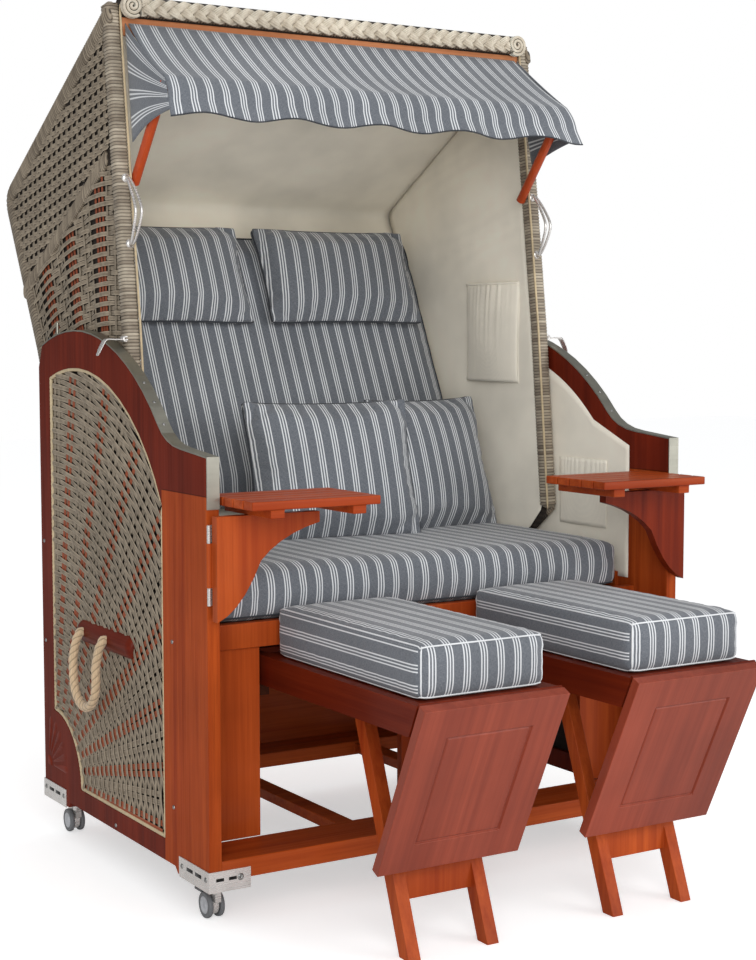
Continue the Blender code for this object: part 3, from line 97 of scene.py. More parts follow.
# Places on the frame, in metres. Y counts from the front face of the side frames.
OUTER_X, INNER_X = 0.550, 0.525
DEPTH = 0.815
POST_WIDTH, STILE_WIDTH = 0.190, 0.060
POST_JOINT = 0.798
PIVOT = (0.610, 0.540)
ARCH_RADIUS, ARCH_DEPTH = 0.553, 0.075
STRIP_RADIUS = 0.5555
WINDOW_LOW = 0.130
FAN_RADIUS = 0.145
FAN_CORNER = (0.768, 0.135)
RIB_CENTRE = (0.472, 0.350)
HOOD_X = 0.513
LINING_X = 0.4985
POST_FOOT, POST_MID, POST_HEAD = POST_LINE = (0.372, 0.690), (0.412, 1.100), (0.495, 1.742)
SHOULDER, KNEE, HEEL, SILL = (1.100, 1.402), (0.905, 1.050), (0.690, 0.575), (0.448, 0.633)
HINGE = (-0.4235, 0.4775)
CASTOR_X, CASTOR_Y, CASTOR_TRAIL, WHEEL_RADIUS = 0.505, {"front": 0.066, "rear": 0.745}, 0.018, 0.025
BRACKET_Z = 0.097

# Sizes and angles that more than one piece uses
ROPE_RADIUS, ROPE_LAY, ROPE_STEP = 0.0095, 0.046, 0.0022
BACK_LEAN, THROW_LEAN = math.radians(90 - 25.3), math.radians(90 - 17)
FOOT_BOARD_LEAN = 25.5


def at(x, y, z):
    """A point of the frame, with y counted from the front of the side frames."""
    return Vector((x, y + FRONT, z))


def rgb(red, green, blue):
    """A colour as seen on a screen, as the linear value that a socket takes."""
    shares = [value / 255 for value in (red, green, blue)]
    return tuple(((v + 0.055) / 1.055) ** 2.4 if v > 10 / 255 else v / 12.92 for v in shares)


def colour(name, about, value):
    return FloatVectorProperty(
        name=name, description=about, default=value, subtype="COLOR", size=3, min=0, max=1
    )


def length(name, about, value):
    return FloatProperty(name=name, description=about, default=value, unit="LENGTH", min=0)


def strength(name, about, value):
    return FloatProperty(name=name, description=about, default=value, min=0)


class WoodSettings(bpy.types.PropertyGroup):
    """Colours of the varnished wood."""

    frame_dark: colour("Side frame, dark", "Dark grain of the side frames", rgb(84, 26, 15))
    frame_light: colour("Side frame, light", "Light grain of the side frames", rgb(128, 44, 24))
    # Painted shade: the rails' tones are darker than the front boards' to paint in the shade the rails lie
    # in.
    rail_shaded_dark: colour("Rails, dark", "Dark grain of the footrest rails", rgb(84, 22, 10))
    rail_shaded_light: colour("Rails, light", "Light grain of the footrest rails", rgb(124, 44, 18))
    front_dark: colour(
        "Front boards, dark", "Dark grain of the posts, tables and footrests", rgb(136, 46, 16)
    )
    front_light: colour(
        "Front boards, light", "Light grain of the posts, tables and footrests", rgb(192, 88, 36)
    )
    inner_dark: colour("Inner boards, dark", "Dark grain under the seat", rgb(46, 22, 14))
    inner_light: colour("Inner boards, light", "Light grain under the seat", rgb(82, 40, 24))
    arm: colour("Awning arms", "Colour of the round awning arms", rgb(196, 78, 34))
    edge_radius: length("Edge radius", "How far the edges of the boards are rounded", 0.0022)


class ReedSettings(bpy.types.PropertyGroup):
    """Sizes and colours of the woven reed."""

    light: colour("Light reed", "Lightest reed", rgb(168, 154, 134))
    dark: colour("Dark reed", "Darkest reed", rgb(98, 86, 72))
    accent: colour("Accent reed", "Red-brown reed", rgb(168, 84, 50))
    edging: colour("Cane edging", "Pale cane round the windows", rgb(206, 186, 150))
    # Painted shade: the near-black between the reeds stands for the shade behind them.
    gap: colour("Gaps", "What shows between the reeds", rgb(44, 36, 30))
    pitch: length("Pitch", "From one weaver to the next", 0.0118)
    width: length("Width", "Width of a weaver", 0.0104)
    rise: length("Rise", "How far a weaver swings out and in", 0.0024)


class ClothSettings(bpy.types.PropertyGroup):
    """Sizes and colours of the striped cloth and the lining."""

    ground: colour("Ground", "Ground colour of the striped cloth", rgb(82, 86, 93))
    fleck: colour("Fleck", "Lighter threads of the ground", rgb(120, 124, 130))
    stripe: colour("Stripe", "Colour of the stripes", rgb(226, 228, 230))
    lining: colour("Lining", "Colour of the lining", rgb(251, 244, 228))
    period: length("Period", "From one group of three stripes to the next", 0.0350)
    stripe_width: length("Stripe width", "Width of one stripe", 0.0024)
    stripe_step: length("Stripe step", "From one stripe of a group to the next", 0.0058)


class MetalSettings(bpy.types.PropertyGroup):
    """Colours of the metal, plastic and rope."""

    steel: colour("Steel", "Brushed steel", rgb(238, 234, 230))
    strip: colour("Rail strip", "Dull steel of the rail strips", rgb(178, 176, 164))
    plastic: colour("Castor plastic", "Grey plastic of the castors", rgb(186, 188, 192))
    rope: colour("Rope", "Natural rope", rgb(236, 206, 168))


class StageSettings(bpy.types.PropertyGroup):
    """The camera and the light."""

    focal_mm: FloatProperty(name="Focal length", description="Of the camera", default=66.4, min=10, max=300)
    key: strength("Key light", "Power of the light at the front left", 108)
    fill: strength("Fill light", "Power of the light at the front right", 58)
    top: strength("Top light", "Power of the light above", 16)
    sky: strength("Sky", "Strength of the even light", 0.60)


# Materials


NOISE_LOW, NOISE_HIGH = 0.3, 0.7


def feed(tree, socket, value):
    """Links a socket to one of another node, or sets its value."""
    if isinstance(value, bpy.types.NodeSocket):
        tree.links.new(value, socket)
    elif socket.type == "RGBA":
        socket.default_value = (*value, 1)[:4]
    else:
        socket.default_value = value


def shader_node(tree, kind, inputs=(), **settings):
    """A new node with its settings and inputs."""
    made = tree.nodes.new(kind)
    for key, value in settings.items():
        setattr(made, key, value)
    for key, value in dict(inputs).items():
        feed(tree, made.inputs[key], value)
    return made


class Look:
    """One procedural material, put together node by node."""

    def __init__(self, name, **skin):
        self.material = bpy.data.materials.new(name)
        self.material.use_nodes = True
        self.tree = self.material.node_tree
        self.tree.nodes.clear()
        self.skin = self.add("ShaderNodeBsdfPrincipled")
        self.out = self.add("ShaderNodeOutputMaterial", {"Surface": self.skin.outputs["BSDF"]})
        self.coordinates = self.add("ShaderNodeTexCoord").outputs["Object"]
        for key, value in skin.items():
            self.skin.inputs[key.replace("_", " ").title().replace("Ior", "IOR")].default_value = value

    def add(self, kind, inputs=(), **settings):
        return shader_node(self.tree, kind, inputs, **settings)

    def own_map(self, layer):
        """The piece's own map, and its U and V apart."""
        where = self.add("ShaderNodeUVMap", uv_map=layer).outputs[0]
        parts = self.add("ShaderNodeSeparateXYZ", {"Vector": where}).outputs
        return where, parts[0], parts[1]

    def scaled(self, scale, turn=(0, 0, 0), of=None):
        """Coordinates turned first and then scaled."""
        source = of or self.coordinates
        if any(turn):
            source = self.add("ShaderNodeMapping", {"Vector": source, "Rotation": turn}).outputs[0]
        return self.add("ShaderNodeMapping", {"Vector": source, "Scale": scale}).outputs[0]

    def noise(self, vector, scale, detail=3.0, rough=0.55, twist=0.0):
        return self.add(
            "ShaderNodeTexNoise",
            {"Vector": vector, "Scale": scale, "Detail": detail, "Roughness": rough, "Distortion": twist},
        ).outputs[0]

    def wave(self, vector, scale, twist=0.0, direction="X"):
        return self.add(
            "ShaderNodeTexWave", {"Vector": vector, "Scale": scale, "Distortion": twist, "Detail": 2.0},
            bands_direction=direction,
        ).outputs[1]

    def maths(self, kind, first, second=0.0):
        return self.add("ShaderNodeMath", {0: first, 1: second}, operation=kind).outputs[0]

    def fold(self, value):
        """How far a value lies from the middle of its turn, 0 to 0.5."""
        return self.maths("ABSOLUTE", self.maths("SUBTRACT", self.maths("FRACT", value), 0.5))

    def between(self, value, low, high, out_low=0.0, out_high=1.0):
        return self.add(
            "ShaderNodeMapRange",
            {"Value": value, "From Min": low, "From Max": high, "To Min": out_low, "To Max": out_high},
        ).outputs[0]

    def spread(self, noise, out_low=0.0, out_high=1.0):
        """A noise, which keeps near its middle, spread over a range."""
        return self.between(noise, NOISE_LOW, NOISE_HIGH, out_low, out_high)

    def mixed(self, share, first, second):
        return self.add("ShaderNodeMix", {0: share, 6: first, 7: second}, data_type="RGBA").outputs[2]

    def bumped(self, height, strength, distance, normal=None):
        inputs = {"Height": height, "Strength": strength, "Distance": distance}
        if normal:
            inputs["Normal"] = normal
        return self.add("ShaderNodeBump", inputs).outputs[0]

    def finish(self, base, roughness=None, normal=None):
        group = ageing_group()
        worn = self.add("ShaderNodeGroup", {"Color": base, "Place": self.coordinates}, node_tree=group)
        for key, value in (("Base Color", worn.outputs[0]), ("Roughness", roughness), ("Normal", normal)):
            if value is not None:
                self.tree.links.new(value, self.skin.inputs[key])
        return self.material


def ageing_group():
    """Slow changes of tone that every finish shares."""
    group = bpy.data.node_groups.get("slow_tone")
    if group:
        return group
    group = bpy.data.node_groups.new("slow_tone", "ShaderNodeTree")
    for name, way, kind in (
        ("Color", "INPUT", "Color"), ("Place", "INPUT", "Vector"), ("Color", "OUTPUT", "Color"),
    ):
        group.interface.new_socket(name, in_out=way, socket_type=f"NodeSocket{kind}")
    given = shader_node(group, "NodeGroupInput").outputs
    noise = shader_node(group, "ShaderNodeTexNoise", {"Vector": given["Place"], "Scale": 4.5, "Detail": 3})
    spread = shader_node(
        group, "ShaderNodeMapRange",
        {
            "Value": noise.outputs[0], "From Min": NOISE_LOW, "From Max": NOISE_HIGH,
            "To Min": 0.86, "To Max": 1.12,
        },
    )
    tone = shader_node(
        group, "ShaderNodeHueSaturation", {"Value": spread.outputs[0], "Color": given["Color"]}
    )
    shader_node(group, "NodeGroupOutput", {0: tone.outputs[0]})
    return group


def toned(base, share):
    """The colour made darker or lighter."""
    return [min(1, v * share) for v in base]


def wood_look(name, dark, light, grain="Z", coat=0.12, turn=0.0, post=None, shine=0.08):
    """Varnished wood whose grain runs along one axis. post gives the tones of the front post's own board."""
    look = Look(name, coat_weight=coat, coat_roughness=0.14, specular_ior_level=shine)
    long_way = {"X": (0.7, 30, 30), "Y": (30, 0.7, 30), "Z": (30, 30, 0.7)}[grain]
    tilt = (math.radians(turn), 0, 0)
    broad = look.noise(look.scaled([v * 0.32 for v in long_way], tilt), 1.0, 3.0, 0.55, 0.5)
    lines = look.noise(look.scaled([v * 2.2 for v in long_way], tilt), 1.0, 3.0, 0.6)
    fine = look.noise(look.scaled([v * 9 for v in long_way], tilt), 1.0, 2.0, 0.7)
    share = look.maths("ADD", look.spread(broad, 0.0, 0.55), look.spread(lines, 0.0, 0.45))
    base = look.mixed(share, dark, light)
    if post:
        place = look.add("ShaderNodeSeparateXYZ", {"Vector": look.coordinates}).outputs
        before = look.maths("LESS_THAN", place[1], FRONT + POST_WIDTH)
        below = look.maths("LESS_THAN", place[2], POST_JOINT)
        base = look.mixed(look.maths("MULTIPLY", before, below), base, look.mixed(share, *post))
        seam = look.maths("ABSOLUTE", look.maths("SUBTRACT", place[2], POST_JOINT))
        seam = look.maths("MULTIPLY", look.between(seam, 0.0006, 0.0016, 0.7, 0.0), before)
        base = look.mixed(seam, base, toned(dark, 0.3))
    base = look.mixed(look.between(fine, 0.45, 0.75, 0.0, 0.30), base, dark)
    rough = look.spread(fine, 0.34, 0.48)
    return look.finish(base, rough, look.bumped(fine, 0.07, 0.0004))


def reed_look(name, light, dark):
    """A split reed, with streaks along it, paler edges and painted shade in a thin dark line at its very
    edge.
    """
    look = Look(name, specular_ior_level=0.3)
    where, _, across = look.own_map("reed")
    streak = look.noise(look.scaled((14, 5, 1), of=where), 1.0, 3.0, 0.6)
    patch = look.noise(look.coordinates, 60.0, 2.0)
    middle = look.fold(across)
    share = look.maths("ADD", look.spread(streak, 0.0, 0.5), look.spread(patch, 0.0, 0.5))
    base = look.mixed(share, dark, light)
    base = look.mixed(look.between(middle, 0.30, 0.42, 0.0, 0.55), base, toned(light, 1.5))
    # Painted shade: a dark line at the reed's very edge, where it meets its neighbour.
    base = look.mixed(look.between(middle, 0.43, 0.49, 0.0, 0.75), base, toned(dark, 0.3))
    return look.finish(base, look.spread(streak, 0.45, 0.68), look.bumped(streak, 0.35, 0.0008))


def wound_look(name, light, dark):
    """Reed wound round a core: U counts the windings, each has its own tone, and shade is painted into the
    grooves between them.
    """
    look = Look(name, specular_ior_level=0.35)
    where, turns, _ = look.own_map("reed")
    own = look.add("ShaderNodeTexWhiteNoise", {"W": look.maths("FLOOR", turns)}, noise_dimensions="1D")
    streak = look.noise(look.scaled((5, 3, 1), of=where), 1.0, 3.0, 0.6)
    patch = look.noise(look.coordinates, 30.0, 2.0)
    share = look.maths("ADD", look.maths("MULTIPLY", own.outputs[0], 0.55), look.spread(patch, 0.0, 0.3))
    share = look.maths("ADD", share, look.between(streak, 0.35, 0.65, 0.0, 0.2))
    edge = look.fold(turns)
    base = look.mixed(share, dark, light)
    # Painted shade: a dark line in the groove between one winding and the next.
    base = look.mixed(look.between(edge, 0.34, 0.48, 0.0, 0.85), base, toned(dark, 0.22))
    height = look.between(edge, 0.2, 0.5, 1.0, 0.0)
    return look.finish(base, look.spread(streak, 0.38, 0.6), look.bumped(height, 0.5, 0.0015))


def backing_look(name, light, gap):
    """The shaded weave behind the reeds that are modelled one by one."""
    look = Look(name, roughness=0.85)
    stakes, weavers = look.wave(look.scaled((55, 55, 55)), 1.0), look.wave(look.coordinates, 26.0, 0.2, "Z")
    over = look.maths("MULTIPLY", stakes, weavers)
    # Painted shade: darkened reed and near-black gaps stand for the shade in the depth of the weave.
    base = look.mixed(look.between(over, 0.25, 0.75, 0.0, 0.55), gap, light)
    return look.finish(base, None, look.bumped(over, 0.6, 0.002))


def cane_look(name, base_colour):
    """Pale cane with a fine grain."""
    look = Look(name, specular_ior_level=0.4)
    grain = look.noise(look.scaled((60, 60, 60)), 1.0, 4.0)
    base = look.mixed(look.spread(grain), toned(base_colour, 0.78), base_colour)
    return look.finish(base, look.spread(grain, 0.42, 0.6), look.bumped(grain, 0.3, 0.0008))


def striped_look(name, cloth):
    """Woven cloth with groups of three stripes that follow the cloth's own map."""
    look = Look(name, roughness=0.88, sheen_weight=0.25, sheen_roughness=0.5, specular_ior_level=0.2)
    where, along, _ = look.own_map("cloth")
    off = look.maths("MULTIPLY", look.fold(look.maths("DIVIDE", along, cloth.period)), cloth.period)
    near = look.maths("MINIMUM", off, look.maths("ABSOLUTE", look.maths("SUBTRACT", off, cloth.stripe_step)))
    half = cloth.stripe_width / 2
    on_stripe = look.between(near, half - 0.0003, half + 0.0003, 1.0, 0.0)
    threads = look.noise(look.scaled((1500, 160, 1), of=where), 1.0, 2.0, 0.7)
    cross = look.noise(look.scaled((160, 1500, 1), of=where), 1.0, 2.0, 0.7)
    melange = look.maths("MULTIPLY", look.maths("ADD", threads, cross), 0.5)
    base = look.mixed(look.between(melange, 0.40, 0.60), cloth.ground, cloth.fleck)
    worn = look.mixed(look.between(melange, 0.35, 0.65, 0.0, 0.22), cloth.stripe, cloth.fleck)
    base = look.mixed(on_stripe, base, worn)
    folds = look.noise(look.scaled((7, 7, 7)), 1.0, 2.0, 0.5, 0.6)
    normal = look.bumped(melange, 0.35, 0.0006)
    return look.finish(base, None, look.bumped(folds, 0.30, 0.012, normal))


def plain_cloth_look(name, base_colour, folds=0.35):
    """Plain woven cloth with soft folds."""
    look = Look(name, roughness=0.9, sheen_weight=0.2, specular_ior_level=0.15)
    warp, weft = look.wave(look.scaled((1, 1, 1)), 420.0, 0.4, "Z"), look.wave(look.coordinates, 420.0, 0.4)
    weave = look.maths("ADD", warp, weft)
    soft = look.noise(look.scaled((5, 5, 5)), 1.0, 3.0, 0.5, 0.8)
    base = look.mixed(look.between(weave, 0.4, 1.6, 0.0, 0.2), base_colour, toned(base_colour, 0.82))
    normal = look.bumped(weave, 0.25, 0.0005)
    return look.finish(base, None, look.bumped(soft, folds, 0.010, normal))


def metal_look(name, base_colour, rough, metallic=1.0, brushed=(6, 260, 260)):
    """Brushed metal with faint stains."""
    look = Look(name, metallic=metallic)
    lines = look.noise(look.scaled(brushed), 1.0, 3.0, 0.6)
    stain = look.noise(look.coordinates, 26.0, 3.0)
    base = look.mixed(look.between(stain, 0.35, 0.7, 0.0, 0.5), base_colour, toned(base_colour, 0.72))
    gloss = look.spread(lines, rough - 0.07, rough + 0.10)
    return look.finish(base, gloss, look.bumped(lines, 0.08, 0.0004))


def plastic_look(name, base_colour):
    """Moulded plastic with scuffs."""
    look = Look(name, specular_ior_level=0.45)
    grain = look.noise(look.coordinates, 900.0, 2.0)
    scuff = look.noise(look.scaled((40, 40, 160)), 1.0, 4.0)
    base = look.mixed(look.between(scuff, 0.5, 0.75, 0.0, 0.4), base_colour, toned(base_colour, 1.5))
    return look.finish(base, look.spread(scuff, 0.36, 0.55), look.bumped(grain, 0.15, 0.0003))


def rope_look(name, base_colour):
    """Natural fibre with painted shade in the grooves between the three strands."""
    look = Look(name, roughness=0.95, sheen_weight=0.3, specular_ior_level=0.1)
    where, along, across = look.own_map("reed")
    fibre = look.noise(look.scaled((60, 26, 1), (0, 0, 0.5), where), 1.0, 4.0, 0.7, 0.4)
    lay = look.maths("ADD", across, look.maths("DIVIDE", along, ROPE_LAY))
    groove_shade = look.fold(look.maths("MULTIPLY", lay, 3.0))
    base = look.mixed(look.between(fibre, 0.3, 0.72), toned(base_colour, 0.62), base_colour)
    # Painted shade: darker colour in the grooves between the strands.
    base = look.mixed(look.between(groove_shade, 0.0, 0.16, 0.75, 0.0), base, toned(base_colour, 0.3))
    return look.finish(base, None, look.bumped(fibre, 0.8, 0.0018))


LOOKS = {}


def make_looks():
    """Every finish of the chair, from the colours in the panel."""
    scene = bpy.context.scene
    wood, reed, cloth, metal = scene.chair_wood, scene.chair_reed, scene.chair_cloth, scene.chair_metal
    frame_tones, front_tones = (wood.frame_dark, wood.frame_light), (wood.front_dark, wood.front_light)
    LOOKS.update(
        frame_Y=wood_look("frame_wood_Y", *frame_tones, "Y", 0.04),
        front_X=wood_look("front_wood_X", *front_tones, "X", 0.10),
        front_Z=wood_look("front_wood_Z", *front_tones, "Z", 0.10),
        inner_Y=wood_look("inner_wood_Y", wood.inner_dark, wood.inner_light, "Y", 0.04),
        side_frame=wood_look("side_frame_wood", *frame_tones, "Z", 0.05, post=front_tones, shine=0.03),
        # Painted shade: the rails and the right table bracket take darkened copies of the front wood.
        rail=wood_look("shaded_rail_wood", wood.rail_shaded_dark, wood.rail_shaded_light, "Y", 0.08),
        shaded_Z=wood_look("shaded_wood", wood.rail_shaded_dark, wood.front_dark, "Z", 0.08),
        foot_board=wood_look(
            "foot_board_wood", rgb(122, 50, 34), rgb(158, 72, 50), "Z", 0.3, -FOOT_BOARD_LEAN, shine=0.14
        ),
        arm=wood_look("arm_wood", toned(wood.arm, 0.62), wood.arm, "Z", 0.5),
        beam=wood_look("beam_wood", rgb(164, 96, 58), rgb(214, 148, 104), "X", 0.2),
        reed=reed_look("grey_reed", reed.light, reed.dark),
        wound_dark=wound_look("wound_dark_reed", rgb(166, 152, 132), rgb(102, 90, 76)),
        wound=wound_look("wound_reed", rgb(196, 184, 164), rgb(104, 90, 76)),
        braid=reed_look("braid_reed", rgb(228, 218, 200), rgb(168, 154, 134)),
        accent=reed_look("accent_reed", reed.accent, toned(reed.accent, 0.5)),
        cane=cane_look("cane_edging", reed.edging),
        # Painted shade: the weave behind the reeds is darkened reed over near-black gaps, standing for the
        # shade deep in the weave.
        backing=backing_look("shaded_weave", toned(reed.dark, 0.6), reed.gap),
        striped=striped_look("striped_cloth", cloth),
        seam=plain_cloth_look("dark_seam", toned(cloth.ground, 0.45), 0.1),
        piping=plain_cloth_look("pale_piping", cloth.stripe, 0.1),
        lining=plain_cloth_look("beige_lining", cloth.lining),
        steel=metal_look("brushed_steel", metal.steel, 0.26, 0.72),
        strip=metal_look("dull_steel", metal.strip, 0.42),
        screw=metal_look("screw_steel", rgb(170, 170, 168), 0.3, 1.0, (200, 200, 200)),
        # Painted shade: near-black blocks stand for the shade inside the brackets' slots.
        hole=plain_cloth_look("dark_hole", rgb(22, 20, 18), 0.0),
        plastic=plastic_look("castor_plastic", metal.plastic),
        tyre=plastic_look("castor_tyre", toned(metal.plastic, 0.32)),
        rope=rope_look("natural_rope", metal.rope),
    )


# Making pieces


def piece(name, bm, look, body, slot, *nodes, smooth=True):
    """A finished mesh as an object that rides on a body."""
    mesh = bpy.data.meshes.new(name)
    bm.to_mesh(mesh)
    bm.free()
    return dress(name, mesh, look, body, slot, *nodes, smooth=smooth)


def dress(name, mesh, look, body, slot, *nodes, smooth=True):
    """A mesh as an object with its finish, in the place of the nodes that it stands for."""
    if smooth:
        mesh.shade_smooth()
    mesh.materials.clear()
    mesh.materials.append(LOOKS[look])
    obj = bpy.data.objects.new(name, mesh)
    bpy.context.scene.collection.objects.link(obj)
    if nodes:
        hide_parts(*nodes)
    if body:
        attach(obj, body)
    return obj


def paint(node, look):
    """Gives a node of the frame its finish."""
    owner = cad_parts[node]
    if not owner.material_slots:
        owner.data.materials.append(LOOKS[look])
    for slot in owner.material_slots:
        slot.material = LOOKS[look]


def round_edges(board, width, angle, miter="MITER_SHARP"):
    """Rounds the edges of a board that are sharper than the angle."""
    bevel = board.modifiers.new("Rounded edges", "BEVEL")
    bevel.width, bevel.segments, bevel.limit_method = width, 2, "ANGLE"
    bevel.angle_limit, bevel.miter_outer = math.radians(angle), miter
    board.modifiers.new("Even shading", "WEIGHTED_NORMAL").keep_sharp = True


def rounded_boards(node, look, body, slot, radius=None):
    """A copy of a wooden node with its edges rounded, in its place."""
    bm = bmesh.new()
    bm.from_mesh(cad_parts[node].data)
    bmesh.ops.remove_doubles(bm, verts=bm.verts, dist=0.00002)
    bmesh.ops.dissolve_limit(
        bm, angle_limit=math.radians(0.6), use_dissolve_boundaries=False, verts=bm.verts, edges=bm.edges
    )
    boards = piece(f"{node}_boards", bm, look, body, slot, node)
    round_edges(boards, radius or bpy.context.scene.chair_wood.edge_radius, 32, "MITER_ARC")


def block(bm, low, high, radius=0.0, segments=2):
    """A rounded block between two corners."""
    made = bmesh.ops.create_cube(bm, size=1)["verts"]
    low, high = Vector(low), Vector(high)
    bmesh.ops.scale(bm, vec=high - low, verts=made)
    bmesh.ops.translate(bm, vec=(low + high) / 2, verts=made)
    if radius:
        edges = list({edge for vert in made for edge in vert.link_edges})
        bmesh.ops.bevel(
            bm, geom=made + edges, offset=radius, offset_type="OFFSET", segments=segments, profile=0.5,
            affect="EDGES", material=-1, clamp_overlap=True,
        )


def lathe(bm, profile, matrix, steps=24):
    """A turned shape: (radius, height) points spun about Z and put in place."""
    before = set(bm.verts)
    verts = [bm.verts.new((radius, 0, height)) for radius, height in profile]
    edges = [bm.edges.new(pair) for pair in zip(verts, verts[1:])]
    bmesh.ops.spin(
        bm, geom=verts + edges, cent=(0, 0, 0), axis=(0, 0, 1), angle=math.tau, steps=steps, use_merge=True
    )
    made = [vert for vert in bm.verts if vert not in before]
    bmesh.ops.remove_doubles(bm, verts=made, dist=0.00001)
    made = [vert for vert in bm.verts if vert not in before]
    bmesh.ops.recalc_face_normals(bm, faces=faces_of(made))
    bmesh.ops.transform(bm, matrix=matrix, verts=made)
    return made


def facing(direction, place):
    """A matrix that puts Z along the direction at the place."""
    turn = Vector(direction).to_track_quat("Z", "Y").to_matrix().to_4x4()
    return Matrix.Translation(place) @ turn


def faces_of(verts):
    """The faces that touch the points."""
    return list({face for vert in verts for face in vert.link_faces})


def map_faces(faces, uv, place):
    """Writes each point's place on the piece's own map."""
    for face in faces:
        for loop in face.loops:
            loop[uv].uv = place[loop.vert]


def strip_of(bm, uv, points, across, outward, width, crown, share):
    """One reed along the points: a strip with a raised middle, and its own map."""
    steps = len(points) - 1
    made = bmesh.ops.create_grid(bm, x_segments=steps, y_segments=2, size=1)["verts"]
    run = [0.0]
    for a, b in zip(points, points[1:]):
        run.append(run[-1] + (b - a).length)
    place = {}
    for vert in made:
        i = round((vert.co.x + 1) / 2 * steps)
        side = round(vert.co.y)
        lift = crown if side == 0 else 0.0
        place[vert] = (run[i] + share * 3.7, (side + 1) / 2)
        vert.co = points[i] + across[i] * (side * width / 2) + outward[i] * lift
    faces = faces_of(made)
    faces[0].normal_update()
    if faces[0].normal.dot(outward[0]) < 0:
        bmesh.ops.reverse_faces(bm, faces=faces)
    map_faces(faces, uv, place)


def runs(samples, inside):
    """The stretches of samples that lie inside, three or more at a time."""
    found = [[]]
    for sample in samples:
        if inside(sample[0], sample[1]):
            found[-1].append(sample)
        else:
            found.append([])
    return [run for run in found if len(run) > 2]


def in_outline(outline):
    """A test for points inside a closed outline."""
    def inside(y, z):
        hit = False
        for (y0, z0), (y1, z1) in zip(outline, outline[1:] + outline[:1]):
            if (z0 > z) != (z1 > z) and y < y0 + (z - z0) * (y1 - y0) / (z1 - z0):
                hit = not hit
        return hit
    return inside


def smooth_path(points, spacing, closed=False):
    """Even points on a smooth curve through the given ones."""
    points = [Vector(p) for p in points]
    count = len(points)
    pick = (lambda k: points[k % count]) if closed else (lambda k: points[min(max(k, 0), count - 1)])
    dense = []
    for i in range(count if closed else count - 1):
        before, start, end, after = pick(i - 1), pick(i), pick(i + 1), pick(i + 2)
        for step in range(12):
            t = step / 12
            dense.append(0.5 * (
                2 * start + (end - before) * t + (2 * before - 5 * start + 4 * end - after) * t * t
                + (3 * start - before - 3 * end + after) * t ** 3
            ))
    dense.append(points[0] if closed else points[-1])
    return even_path(dense, spacing)


def even_path(points, spacing):
    """Points at even steps along straight stretches."""
    points = [Vector(p) for p in points]
    reach = [0.0]
    for a, b in zip(points, points[1:]):
        reach.append(reach[-1] + (b - a).length)
    count = max(2, round(reach[-1] / spacing))
    even, j = [], 0
    for i in range(count + 1):
        goal = reach[-1] * i / count
        while j < len(reach) - 2 and reach[j + 1] < goal:
            j += 1
        share = (goal - reach[j]) / max(1e-9, reach[j + 1] - reach[j])
        even.append(points[j].lerp(points[j + 1], share))
    return even


def ringed(bm, uv, points, section, step=None):
    """A closed tube through the points. section(i) gives the ring's points about each place."""
    rings = [section(i) for i in range(len(points))]
    around = len(rings[0])
    made = bmesh.ops.create_grid(bm, x_segments=len(points) - 1, y_segments=around, size=1)["verts"]
    rows = {}
    place = {}
    for vert in made:
        i = round((vert.co.x + 1) / 2 * (len(points) - 1))
        j = round((vert.co.y + 1) / 2 * around)
        rows.setdefault(i, {})[j] = vert
        vert.co = rings[i][j % around]
        place[vert] = (i * (step or (points[1] - points[0]).length), j / around)
    map_faces(faces_of(made), uv, place)
    seam = [vert for i in rows for vert in (rows[i][0], rows[i][around])]
    ends = [[rows[i][j] for j in range(around)] for i in (0, len(points) - 1)]
    bmesh.ops.remove_doubles(bm, verts=seam, dist=0.000001)
    for ring in ends:
        ring = [vert for vert in ring if vert.is_valid]
        if len(ring) > 2:
            bm.faces.new(ring)
    bmesh.ops.recalc_face_normals(bm, faces=faces_of([vert for vert in made if vert.is_valid]))


def frames_along(points, up):
    """For each point, the two directions across the path."""
    found = []
    for i in range(len(points)):
        ahead = (points[min(i + 1, len(points) - 1)] - points[max(i - 1, 0)]).normalized()
        side = ahead.cross(up).normalized()
        found.append((side, side.cross(ahead).normalized()))
    return found


def round_tube(bm, uv, points, radius, up, around=8):
    """A plain round tube."""
    places = frames_along(points, up)

    def section(i):
        side, top = places[i]
        angles = [math.tau * j / around for j in range(around)]
        return [points[i] + side * radius * math.cos(a) + top * radius * math.sin(a) for a in angles]

    ringed(bm, uv, points, section)


def wound_roll(bm, uv, points, up, half_width, half_height, pitch, square=2.6, around=12, ripple=0.0014,
               ways=None):
    """A core wound with reed: an oval section whose size dips between the windings."""
    points = even_path(points, pitch / 4)
    places = [ways] * len(points) if ways else frames_along(points, up)

    def section(i):
        side, top = places[i]
        dip = ripple * (1.0, 0.25, 0.0, 0.25)[i % 4]
        close = min(1.0, (min(i, len(points) - 1 - i) + 2) / 7)
        ring = []
        for j in range(around):
            c, s = math.cos(math.tau * j / around), math.sin(math.tau * j / around)
            x = math.copysign(abs(c) ** (2 / square), c)
            y = math.copysign(abs(s) ** (2 / square), s)
            wide, high = side * x * (half_width - dip) * close, top * y * (half_height - dip) * close
            ring.append(points[i] + wide + high)
        return ring

    ringed(bm, uv, points, section, 0.25)


def reed_mesh():
    """An empty mesh with the map that reeds, windings and ropes use."""
    bm = bmesh.new()
    return bm, bm.loops.layers.uv.new("reed")


def finish_reeds(name, reeds, accent_name, accents, body, *nodes):
    """The grey and the red-brown reeds of one field as two pieces."""
    piece(name, reeds[0], "reed", body, "wicker", *nodes)
    piece(accent_name, accents[0], "accent", body, "wicker")


def swing(k, number):
    """Which side of a stake a weaver passes, turn and turn about."""
    return 1 if (k + number) % 2 else -1


# Ropes


